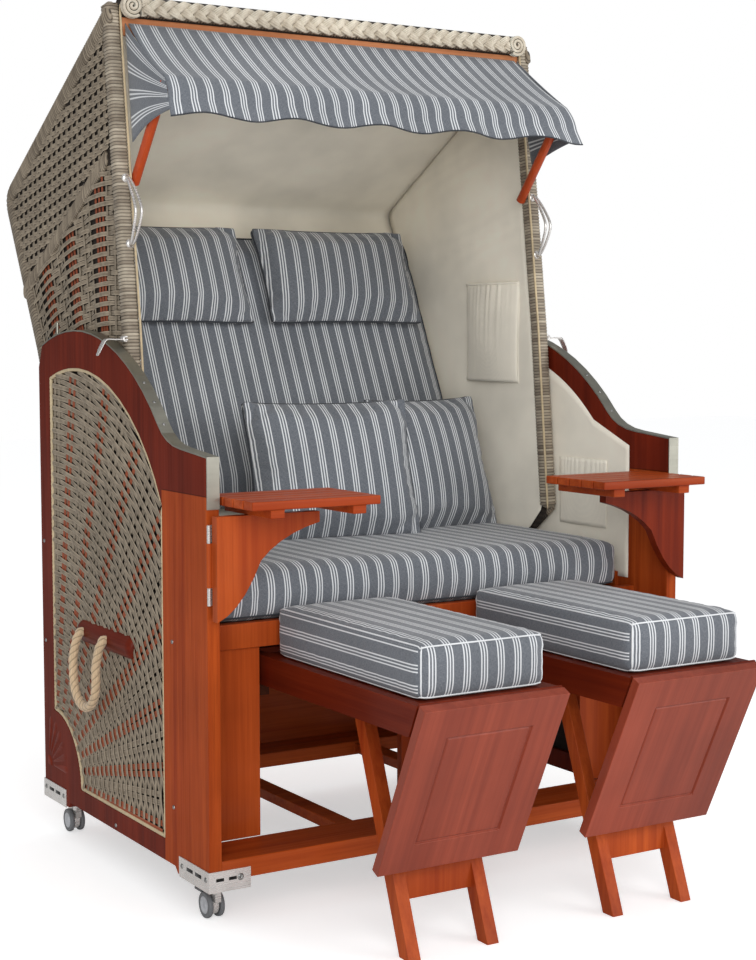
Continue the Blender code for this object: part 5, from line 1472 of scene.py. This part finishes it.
def remeshed(bm, voxel, radius):
    """The shape as an even mesh."""
    mesh = bpy.data.meshes.new("form")
    bm.to_mesh(mesh)
    bm.free()
    obj = bpy.data.objects.new("form", mesh)
    bpy.context.scene.collection.objects.link(obj)
    if radius:
        bevel = obj.modifiers.new("Round", "BEVEL")
        bevel.width, bevel.segments, bevel.limit_method = radius, 3, "ANGLE"
        bevel.angle_limit = math.radians(50)
    remesh = obj.modifiers.new("Even", "REMESH")
    remesh.mode, remesh.voxel_size = "VOXEL", voxel
    smooth = obj.modifiers.new("Smooth", "SMOOTH")
    smooth.iterations = 3
    graph = bpy.context.evaluated_depsgraph_get()
    found = bpy.data.meshes.new_from_object(obj.evaluated_get(graph))
    bpy.data.objects.remove(obj)
    return found


def swollen(mesh, pressure, cap, held, slack):
    """The mesh blown up by cloth simulation, with each point's move capped and the held points kept."""
    rest = [vert.co.copy() for vert in mesh.vertices]
    scene = bpy.context.scene
    obj = bpy.data.objects.new("swelling", mesh)
    scene.collection.objects.link(obj)
    group = obj.vertex_groups.new(name="seam")
    for i, place in enumerate(rest):
        weight = held(place)
        if weight > 0:
            group.add([i], weight, "REPLACE")
    cloth = obj.modifiers.new("Swell", "CLOTH")
    settings = cloth.settings
    settings.quality = 4
    settings.mass = 0.002
    settings.tension_stiffness = settings.compression_stiffness = 10
    settings.shear_stiffness = 5
    settings.bending_stiffness = 0.03
    settings.shrink_min = -slack
    settings.use_pressure = True
    settings.uniform_pressure_force = pressure
    settings.vertex_group_mass = "seam"
    settings.effector_weights.gravity = 0
    cloth.collision_settings.use_collision = False
    cloth.collision_settings.use_self_collision = False
    cloth.point_cache.frame_start, cloth.point_cache.frame_end = 1, 20
    for number in range(1, 21):
        scene.frame_set(number)
    graph = bpy.context.evaluated_depsgraph_get()
    after = obj.evaluated_get(graph).to_mesh()
    moved = []
    for place, vert in zip(rest, after.vertices):
        move = vert.co - place
        if move.length > cap:
            move *= cap / move.length
        moved.append(place + move)
    obj.evaluated_get(graph).to_mesh_clear()
    bpy.data.objects.remove(obj)
    scene.frame_set(1)
    return rest, moved


def padded_piece(name, node, size, matrix, body, pillow=False, voxel=0.006, pressure=12.0,
                 cap=0.012, crown=0.12, pull=0.012, rim=0.1, radius=0.012, slant=0.0, shift=0.0,
                 creases=None, slack=0.02):
    """A stuffed piece in striped cloth, and the tree of its surface for the seams that follow it."""
    mesh = remeshed(local_form(size, crown, pull, rim, pillow), voxel, 0 if pillow else radius)
    half = [v / 2 for v in size]
    seam_height, seam_share, edge_band, far_off = 0.0045, 0.86, 0.016, 10

    def held(place):
        x, y, z = (abs(v) for v in place)
        if pillow:
            return float(z < seam_height and (x > half[0] * seam_share or y > half[1] * seam_share))
        return float(min(half[0] - x, half[1] - y) < edge_band and half[2] - z < edge_band)

    rest, moved = swollen(mesh, pressure, cap, held, slack)
    mesh = mesh.copy()
    faces = [(tuple(face.vertices), face.normal.copy()) for face in mesh.polygons]
    for vert, place in zip(mesh.vertices, moved):
        vert.co = place + creases(place, half) if creases else place
    tree = BVHTree.FromPolygons([v.co.copy() for v in mesh.vertices], [f[0] for f in faces])
    layer = mesh.uv_layers.new(name="cloth")
    cos, sin = math.cos(slant), math.sin(slant)
    for face, (_, normal) in zip(mesh.polygons, faces):
        for loop in face.loop_indices:
            x, y, z = rest[mesh.loops[loop].vertex_index]
            if pillow or abs(normal.z) >= max(abs(normal.x), abs(normal.y)):
                pair = (x * cos + y * sin, y * cos - x * sin)
            elif abs(normal.x) >= abs(normal.y):
                pair = (half[0] + half[2] - z, y)
            else:
                pair = (x * cos, z)
            layer.data[loop].uv = (pair[0] + shift + far_off, pair[1])
    mesh.transform(matrix)
    obj = dress(name, mesh, "striped", body, "striped_cloth", node)
    smooth = obj.modifiers.new("Smooth cloth", "SUBSURF")
    smooth.levels = smooth.render_levels = 1
    return tree


def seam_round(tree, size, tilt, steps=30):
    """A closed line where the cushion's edge lies.

    tilt 0 looks in level, 1 slantwise from above and -1 from below.
    """
    hx, hy, hz = (v / 2 for v in size)
    away, reach = 0.15, 0.4
    found = []
    for (x0, y0), (x1, y1), normal in (
        ((hx, -hy), (hx, hy), (1, 0)), ((hx, hy), (-hx, hy), (0, 1)),
        ((-hx, hy), (-hx, -hy), (-1, 0)), ((-hx, -hy), (hx, -hy), (0, -1)),
    ):
        out = Vector((*normal, tilt)).normalized()
        for i in range(steps):
            share = (i + 0.5) / steps
            start = Vector((x0 + (x1 - x0) * share, y0 + (y1 - y0) * share, tilt * hz)) + out * away
            hit = tree.ray_cast(start, -out, reach)[0]
            if hit is not None:
                found.append(hit)
    return found


def piping(name, tree, size, matrix, body, tilts, radius, look, corners=False):
    """Cord or seam along a cushion's edges, and up its corners where asked."""
    bm, uv = reed_mesh()
    for tilt in tilts:
        line = seam_round(tree, size, tilt)
        if len(line) > 8:
            line = smooth_path([matrix @ p for p in line], 0.010, closed=True)
            round_tube(bm, uv, line, radius, Vector((0.13, 0.21, 1)), 7)
    if corners:
        hx, hy, hz = (v / 2 for v in size)
        for sx in (-1, 1):
            for sy in (-1, 1):
                out = Vector((sx, sy, 0)).normalized()
                line = []
                for i in range(9):
                    z = hz * (-0.88 + 1.76 * i / 8)
                    hit = tree.ray_cast(Vector((sx * hx, sy * hy, z)) + out * 0.1, -out, 0.3)[0]
                    if hit is not None:
                        line.append(matrix @ hit)
                if len(line) > 3:
                    round_tube(bm, uv, smooth_path(line, 0.010), radius, Vector((1, 0.3, 0)), 7)
    piece(name, bm, look, body, "striped_cloth")


def node_matrix(node, turn):
    """Puts a turned form in the middle of a node's box."""
    low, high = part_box(node)
    return Matrix.Translation((Vector(low) + Vector(high)) / 2) @ turn


class CHAIR_OT_seat_cushions(bpy.types.Operator):
    """The seat cushion and the long back cushion"""

    bl_idname = "chair.seat_cushions"
    bl_label = "Seat and back cushions"

    def execute(self, context):
        size = (0.966, 0.474, 0.098)
        matrix = node_matrix("seat_cushion", Matrix.Translation((0, 0, 0.001)))
        tree = padded_piece("seat_pad", "seat_cushion", size, matrix, "base", voxel=0.012, cap=0.006,
                            crown=0.03, pull=0.006, radius=0.018, shift=0.004)
        piping("seat_pad_seams", tree, size, matrix, "base", (-1,), 0.0020, "seam")
        size = (0.932, 0.672, 0.078)
        matrix = node_matrix("back_cushion", Matrix.Rotation(BACK_LEAN, 4, "X"))
        tree = padded_piece("back_pad", "back_cushion", size, matrix, "hood", voxel=0.012, cap=0.012,
                            crown=0.22, shift=0.011)
        piping("back_pad_seams", tree, size, matrix, "hood", (1, -1), 0.0020, "seam")
        return {"FINISHED"}


class CHAIR_OT_foot_cushions(bpy.types.Operator):
    """The box cushions on the footrests, with pale piping round their edges"""

    bl_idname = "chair.foot_cushions"
    bl_label = "Footrest cushions"

    def execute(self, context):
        size = (0.262, 0.500, 0.0985)
        for label, side in SIDES:
            node, body = f"footrest_cushion_{label}", f"footrest_{label}"
            pad, edge = f"foot_pad_{label}", f"foot_pad_piping_{label}"
            matrix = node_matrix(node, Matrix.Identity(4))
            tree = padded_piece(pad, node, size, matrix, body, voxel=0.010, cap=0.003, crown=0.02,
                                pull=0.003, radius=0.006, shift=0.006 * side)
            piping(edge, tree, size, matrix, body, (1, -1), 0.0015, "piping", True)
            for name in (pad, edge):
                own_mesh(bpy.data.objects[name])
        return {"FINISHED"}


def pillow_creases(place, half):
    """Creases that run in from the corners and along the seams."""
    u, v = abs(place.x) / half[0], abs(place.y) / half[1]
    near = max(0.0, (u * v) ** 2)
    wave = 0.0035 * near * math.sin(26 * (u - v)) + 0.0016 * math.sin(38 * place.x + 9) * max(0, v - 0.55)
    wave += 0.0016 * math.sin(44 * place.y + 4) * max(0, u - 0.6)
    return Vector((0, 0, math.copysign(wave, place.z)))


class CHAIR_OT_pillows(bpy.types.Operator):
    """The two head pillows and the two throw pillows"""

    bl_idname = "chair.pillows"
    bl_label = "Pillows"

    def execute(self, context):
        size = (0.414, 0.244, 0.084)
        for label, slant, shift in (("left", 0.0, 0.0), ("right", -0.10, 0.012)):
            node = f"head_pillow_{label}"
            matrix = node_matrix(node, Matrix.Rotation(BACK_LEAN, 4, "X"))
            tree = padded_piece(f"head_pad_{label}", node, size, matrix, "hood", True, 0.007, 30.0,
                                0.008, pull=0.035, rim=0.17, slant=slant, shift=shift,
                                creases=pillow_creases, slack=0.04)
            piping(f"head_pad_seam_{label}", tree, size, matrix, "hood", (0,), 0.0028, "seam")
        for label, width, yaw, slant, shift in (
            ("left", 0.392, -7, 0.03, 0.0), ("right", 0.334, 9, 0.0, 0.018),
        ):
            size, node = (width, 0.312, 0.092), f"throw_pillow_{label}"
            turn = Matrix.Rotation(math.radians(yaw), 4, "Z") @ Matrix.Rotation(THROW_LEAN, 4, "X")
            matrix = node_matrix(node, turn)
            tree = padded_piece(f"throw_pad_{label}", node, size, matrix, node, True, 0.007, 30.0,
                                0.008, pull=0.050, rim=0.16, slant=slant, shift=shift,
                                creases=pillow_creases, slack=0.05)
            piping(f"throw_pad_seam_{label}", tree, size, matrix, node, (0,), 0.0024, "seam")
        return {"FINISHED"}


# Awning


class CHAIR_OT_awning(bpy.types.Operator):
    """The striped awning cloth with its wavy valance"""

    bl_idname = "chair.awning"
    bl_label = "Awning cloth"

    def execute(self, context):
        beam, fold, foot = (0.4880, 1.7050), (0.3035, 1.5810), (0.2660, 1.5050)
        roof, drop = math.dist(beam, fold), math.dist(fold, foot)
        total = roof + drop

        def cloth(u, v):
            run = v * total
            x = 2 * u - 1
            if run <= roof:
                share = run / roof
                y = beam[0] + (fold[0] - beam[0]) * share
                z = beam[1] + (fold[1] - beam[1]) * share
                sag = 0.012 * 4 * share * (1 - share) * (0.75 + 0.25 * math.sin(5 * x + 1))
                tuck = 0.0022 * math.sin(34 * x) * share * (1 - share) * 2
                return at(x * (0.474 + 0.010 * share), y, z - sag + tuck)
            share = (run - roof) / drop
            bow = 0.006 * math.sin(math.pi * min(1, share * 1.6))
            ripple = (0.0050 * math.sin(15.5 * x + 0.6) + 0.0032 * math.sin(29 * x + 2.1)) * share ** 1.3
            hem = 0.0060 * math.sin(15.5 * x + 2.2) * share
            y = fold[0] + (foot[0] - fold[0]) * share - bow - ripple
            z = fold[1] + (foot[1] - fold[1]) * share + hem
            flare = 0.018 * share * max(0, x) ** 3
            return at(x * 0.484 + flare, y, z)

        sheet = laid_sheet(150, 44, cloth)
        self.stretched("awning_sheet", sheet, total, at(0, *beam), at(0, *fold), "awning_cloth")
        for label, side in SIDES:
            low, edge_u = at(side * 0.4900, 0.4380, 1.4660), (1 + side) / 2
            tip = cloth(edge_u, 1.0 - 0.06)

            def gusset(u, v):
                top = cloth(edge_u, v * roof / total)
                bottom = low.lerp(tip, v) + Z_AXIS * (0.014 * math.sin(math.pi * v))
                slack = X_AXIS * side * (0.006 * math.sin(math.pi * v) * math.sin(math.pi * u * 0.8))
                start = at(side * 0.4890, *beam).lerp(low, u)
                edge = cloth(edge_u, (roof + drop * u * 0.9) / total)
                across = start.lerp(edge, v)
                blend = (1 - u) * top + u * bottom
                return across.lerp(blend, 0.5) + slack

            sheet = laid_sheet(26, 26, gusset)
            self.stretched(f"awning_gusset_{label}", sheet, 0.20, at(0, 0.455, 1.585), at(0, 0.3035, 1.555))
        bm, uv = reed_mesh()
        round_tube(bm, uv, [cloth(i / 150, 1.0) for i in range(151)], 0.0016, Z_AXIS, 6)
        piece("awning_hem", bm, "seam", "awning", "striped_cloth")
        return {"FINISHED"}

    def stretched(self, name, bm, flat_length, start, end, *nodes):
        """A striped sheet between the hood and the awning's arms."""
        obj = piece(name, bm, "striped", None, "striped_cloth", *nodes)
        hang(obj, "stretched", ["awning_frame", "hood_front_frame"], 0.0016, drop=flat_length)
        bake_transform(obj)


# Hardware


class CHAIR_OT_hardware(bpy.types.Operator):
    """Bow handles, latch levers, castor wheels, and the corner brackets' screws and slots"""

    bl_idname = "chair.hardware"
    bl_label = "Hardware"

    def execute(self, context):
        for label, side in SIDES:
            self.bow_handle(label, side)
            self.latch(label, side)
            for end in ENDS:
                self.wheel(end, label, side)
                self.bracket_screws(end, label, side)
        return {"FINISHED"}

    def bow_handle(self, label, side):
        """Two bent wires between two round plates on the post."""
        def post_face(z):
            run, rise = POST_HEAD[0] - POST_MID[0], POST_HEAD[1] - POST_MID[1]
            return POST_MID[0] + run * (z - POST_MID[1]) / rise

        bm, uv = reed_mesh()
        x, low, high = side * (HOOD_X - 0.0125), 1.262, 1.400
        half_gap, bow, wire, plate_heights = 0.0066, 0.048, 0.0030, (1.266, 1.396)
        for offset in (-half_gap, half_gap):
            points = []
            for i in range(41):
                share = i / 40
                z = low + (high - low) * (share + 0.06 * math.sin(math.tau * share))
                reach = bow * math.sin(math.pi * share) ** 0.7
                apart = offset * math.sin(math.pi * share) ** 0.4
                points.append(at(x + apart, post_face(z) - 0.0033 - reach, z))
            round_tube(bm, uv, points, wire, X_AXIS, 8)
        plate = [(0, 0.0042), (0.006, 0.0038), (0.0085, 0.0022), (0.0095, 0)]
        for z in plate_heights:
            lathe(bm, plate, facing((0, -1, 0), at(x, post_face(z), z)), 16)
        piece(f"bow_handle_{label}", bm, "steel", "hood", "steel", f"grab_handle_{label}")

    def latch(self, label, side):
        """A bent strap on a short barrel."""
        bm = reed_mesh()[0]
        start, z, y = HOOD_X + 0.0003, 1.078, 0.4215
        line = [(start, z), (start + 0.030, z + 0.0005), (start + 0.047, z), (start + 0.056, z - 0.012),
                (start + 0.065, z - 0.030)]
        points = smooth_path([at(side * px, y, pz) for px, pz in line], 0.004)
        count = len(points)
        for vert in bmesh.ops.create_grid(bm, x_segments=count - 1, y_segments=4, size=1)["verts"]:
            i = round((vert.co.x + 1) / 2 * (count - 1))
            width = 0.0085 * (1 - 0.25 * max(0, i - count + 4) / 3)
            vert.co = points[i] + Y_AXIS * (vert.co.y * width)
        bmesh.ops.solidify(bm, geom=list(bm.faces), thickness=0.0028)
        bmesh.ops.recalc_face_normals(bm, faces=bm.faces)
        barrel = [(0.0028, -0.009), (0.0062, -0.009), (0.0066, -0.008), (0.0066, 0.008), (0.0062, 0.009),
                  (0.0028, 0.009), (0.0028, -0.009)]
        lathe(bm, barrel, facing((0, 1, 0), at(side * (start + 0.007), y, z)), 18)
        piece(f"latch_strap_{label}", bm, "steel", f"latch_{label}", "steel", f"latch_lever_{label}")

    def wheel(self, end, label, side):
        """Twin wheels, each a rim with a turned hub."""
        tyre = [(0.0165, 0.0085), (0.0165, 0.0160), (0.0225, 0.0163), (0.0243, 0.0155), (0.0250, 0.0135),
                (0.0250, 0.0105), (0.0243, 0.0080), (0.0165, 0.0078), (0.0165, 0.0085)]
        disc = [(0.0, 0.0155), (0.0035, 0.0160), (0.0045, 0.0148), (0.0085, 0.0140), (0.0150, 0.0150),
                (0.0163, 0.0162), (0.0168, 0.0150), (0.0168, 0.0080), (0.0, 0.0078)]
        rim, hub = reed_mesh()[0], reed_mesh()[0]
        for sign in (-1, 1):
            axle = at(side * CASTOR_X, CASTOR_Y[end] + CASTOR_TRAIL, WHEEL_RADIUS)
            lathe(rim, tyre, facing((sign, 0, 0), axle), 40)
            lathe(hub, disc, facing((sign, 0, 0), axle), 32)
        name, body = f"{end}_{label}", f"castor_wheel_{end}_{label}"
        piece(f"castor_tyres_{name}", rim, "tyre", body, "castor_plastic", body)
        piece(f"castor_hubs_{name}", hub, "plastic", body, "castor_plastic")

    def bracket_screws(self, end, label, side):
        """Screw heads, and near-black blocks that paint the shade inside the slots, on both legs of a corner
        bracket.
        """
        bm, holes = bmesh.new(), bmesh.new()
        corner, inward = (0, 1) if end == "front" else (DEPTH, -1)
        out, sunk, proud = 0.0023, 0.001, 0.0003
        for along in (0.012, 0.112):
            screw(bm, at(side * (OUTER_X + out), corner + inward * along, BRACKET_Z), X_AXIS * side, 0.0052)
        # Thin near-black blocks paint the shade inside each slot.
        for along in (0.030, 0.066):
            near, far = sorted((corner + inward * along, corner + inward * (along + 0.026)))
            low, high = sorted((side * (OUTER_X + out - sunk), side * (OUTER_X + out + proud)))
            block(holes, at(low, near, 0.0935), at(high, far, 0.1005), 0.0002, 1)
        end_face = at(side * (OUTER_X - 0.062), corner - inward * out, BRACKET_Z)
        screw(bm, end_face, Vector((0, -inward, 0)), 0.0066)
        for along in (0.012, 0.038):
            near, far = sorted((side * (OUTER_X - along), side * (OUTER_X - along - 0.016)))
            low, high = sorted((corner - inward * (out - sunk), corner - inward * (out + proud)))
            block(holes, at(near, low, 0.0940), at(far, high, 0.1000), 0.0002, 1)
        piece(f"bracket_screws_{end}_{label}", bm, "screw", "base", "steel")
        piece(f"bracket_slots_{end}_{label}", holes, "hole", "base", "steel")


# Stage


class CHAIR_OT_stage(bpy.types.Operator):
    """The camera, the pale floor and the soft light"""

    bl_idname = "chair.stage"
    bl_label = "Camera, floor and light"

    def execute(self, context):
        scene = context.scene
        self.camera(scene)
        bm = bmesh.new()
        bmesh.ops.create_grid(bm, x_segments=1, y_segments=1, size=14)
        mesh = bpy.data.meshes.new("floor")
        bm.to_mesh(mesh)
        bm.free()
        floor = bpy.data.objects.new("floor", mesh)
        scene.collection.objects.link(floor)
        floor.data.materials.append(self.floor_look())
        floor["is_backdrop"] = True
        self.light(scene)
        scene.view_settings.view_transform = "Standard"
        return {"FINISHED"}

    def camera(self, scene):
        """The camera at the photo's viewing point, found from the chair's straight edges."""
        camera = bpy.data.cameras.new("photo_camera")
        camera.lens, camera.sensor_width, camera.sensor_fit = scene.chair_stage.focal_mm, 36, "AUTO"
        camera.clip_end = 60
        azimuth, pitch, roll = math.radians(-31.64), math.radians(4.8), math.radians(-0.033)
        viewpoint = (-1.938, -2.836, 1.0927)
        level = math.cos(pitch)
        back = Vector((math.sin(azimuth) * level, -math.cos(azimuth) * level, math.sin(pitch)))
        right = Vector((math.cos(azimuth), math.sin(azimuth), 0))
        up = back.cross(right)
        turned_right = right * math.cos(roll) + up * math.sin(roll)
        turned_up = up * math.cos(roll) - right * math.sin(roll)
        matrix = Matrix((turned_right, turned_up, back)).transposed().to_4x4()
        matrix.translation = at(*viewpoint)
        scene.camera = bpy.data.objects.new("photo_camera", camera)
        scene.camera.matrix_world = matrix
        scene.collection.objects.link(scene.camera)

    def light(self, scene):
        """An even sky that the camera sees as white, and three large lamps."""
        settings = scene.chair_stage
        world = bpy.data.worlds.new("white_room")
        scene.world = world
        world.use_nodes = True
        tree = world.node_tree
        tree.nodes.clear()
        path = shader_node(tree, "ShaderNodeLightPath").outputs
        seen = shader_node(
            tree, "ShaderNodeMath", {0: path["Is Camera Ray"], 1: path["Is Transmission Ray"]},
            operation="MAXIMUM",
        )
        dim = shader_node(
            tree, "ShaderNodeMath", {0: path["Is Glossy Ray"], 1: -settings.sky * 0.55, 2: settings.sky},
            operation="MULTIPLY_ADD",
        )
        even = shader_node(
            tree, "ShaderNodeBackground", {"Color": (0.98, 0.99, 1.0), "Strength": dim.outputs[0]}
        )
        white = shader_node(tree, "ShaderNodeBackground", {"Color": (1, 1, 1), "Strength": 1.0})
        mix = shader_node(
            tree, "ShaderNodeMixShader", {0: seen.outputs[0], 1: even.outputs[0], 2: white.outputs[0]}
        )
        shader_node(tree, "ShaderNodeOutputWorld", {0: mix.outputs[0]})
        for name, power, size, place, target in (
            ("key_light", settings.key, 3.0, (-2.3, -4.2, 2.1), (0, 0, 0.9)),
            ("fill_light", settings.fill, 2.6, (2.6, -3.8, 1.7), (0, 0, 0.9)),
            ("top_light", settings.top, 3.0, (0.2, -0.4, 4.2), (0, 0, 0.5)),
        ):
            light = bpy.data.lights.new(name, "AREA")
            light.energy, light.size = power, size
            lamp = bpy.data.objects.new(name, light)
            lamp.matrix_world = facing(Vector(place) - Vector(target), Vector(place))
            scene.collection.objects.link(lamp)

    def floor_look(self):
        """A pale floor that glows a little for the camera and still takes the chair's shadow."""
        look = Look("pale_floor", roughness=0.9)
        grain = look.noise(look.coordinates, 60.0, 3.0)
        base = look.mixed(look.spread(grain), (0.84, 0.84, 0.84), (0.88, 0.88, 0.88))
        look.tree.links.new(base, look.skin.inputs["Base Color"])
        seen = look.add("ShaderNodeLightPath").outputs["Is Camera Ray"]
        glow = look.add("ShaderNodeEmission", {"Color": (1, 1, 1), "Strength": 0.50})
        none = look.add("ShaderNodeEmission", {"Color": (0, 0, 0), "Strength": 0.0})
        pick = look.add("ShaderNodeMixShader", {0: seen, 1: none.outputs[0], 2: glow.outputs[0]})
        both = look.add("ShaderNodeAddShader", {0: look.skin.outputs[0], 1: pick.outputs[0]})
        look.tree.links.new(both.outputs[0], look.out.inputs["Surface"])
        return look.material


# Panel and run


GROUPS = {
    "chair_wood": WoodSettings, "chair_reed": ReedSettings, "chair_cloth": ClothSettings,
    "chair_metal": MetalSettings, "chair_stage": StageSettings,
}
STEPS = (
    CHAIR_OT_stage, CHAIR_OT_ropes, CHAIR_OT_boards, CHAIR_OT_footrest_panels, CHAIR_OT_side_weave,
    CHAIR_OT_side_details, CHAIR_OT_hood_sides, CHAIR_OT_hood_back, CHAIR_OT_braid, CHAIR_OT_lining,
    CHAIR_OT_seat_cushions, CHAIR_OT_foot_cushions, CHAIR_OT_pillows, CHAIR_OT_awning, CHAIR_OT_hardware,
)


class CHAIR_PT_panel(bpy.types.Panel):
    """The chair's pieces and settings"""

    bl_idname = "CHAIR_PT_panel"
    bl_label = "Hooded beach chair"
    bl_space_type = "VIEW_3D"
    bl_region_type = "UI"
    bl_category = "Beach chair"

    def draw(self, context):
        for key, group in GROUPS.items():
            box = self.layout.box()
            settings = getattr(context.scene, key)
            for name in group.__annotations__:
                box.prop(settings, name)
        for step in STEPS:
            self.layout.operator(step.bl_idname)


def register():
    for key, group in GROUPS.items():
        bpy.utils.register_class(group)
        setattr(bpy.types.Scene, key, PointerProperty(type=group))
    for step in STEPS:
        bpy.utils.register_class(step)
    bpy.utils.register_class(CHAIR_PT_panel)


def unregister():
    bpy.utils.unregister_class(CHAIR_PT_panel)
    for step in reversed(STEPS):
        bpy.utils.unregister_class(step)
    for key, group in GROUPS.items():
        delattr(bpy.types.Scene, key)
        bpy.utils.unregister_class(group)


def main():
    """Makes every piece."""
    register()
    make_looks()
    for step in STEPS:
        area, name = step.bl_idname.split(".")
        if getattr(getattr(bpy.ops, area), name)() != {"FINISHED"}:
            raise RuntimeError(f"{step.bl_label} did not finish")
    plain = lambda box: [[float(v) for v in corner] for corner in box]
    {"cad": plain(CAD_BOX), "visual": plain(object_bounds())}


if __name__ == "__main__":
    main()
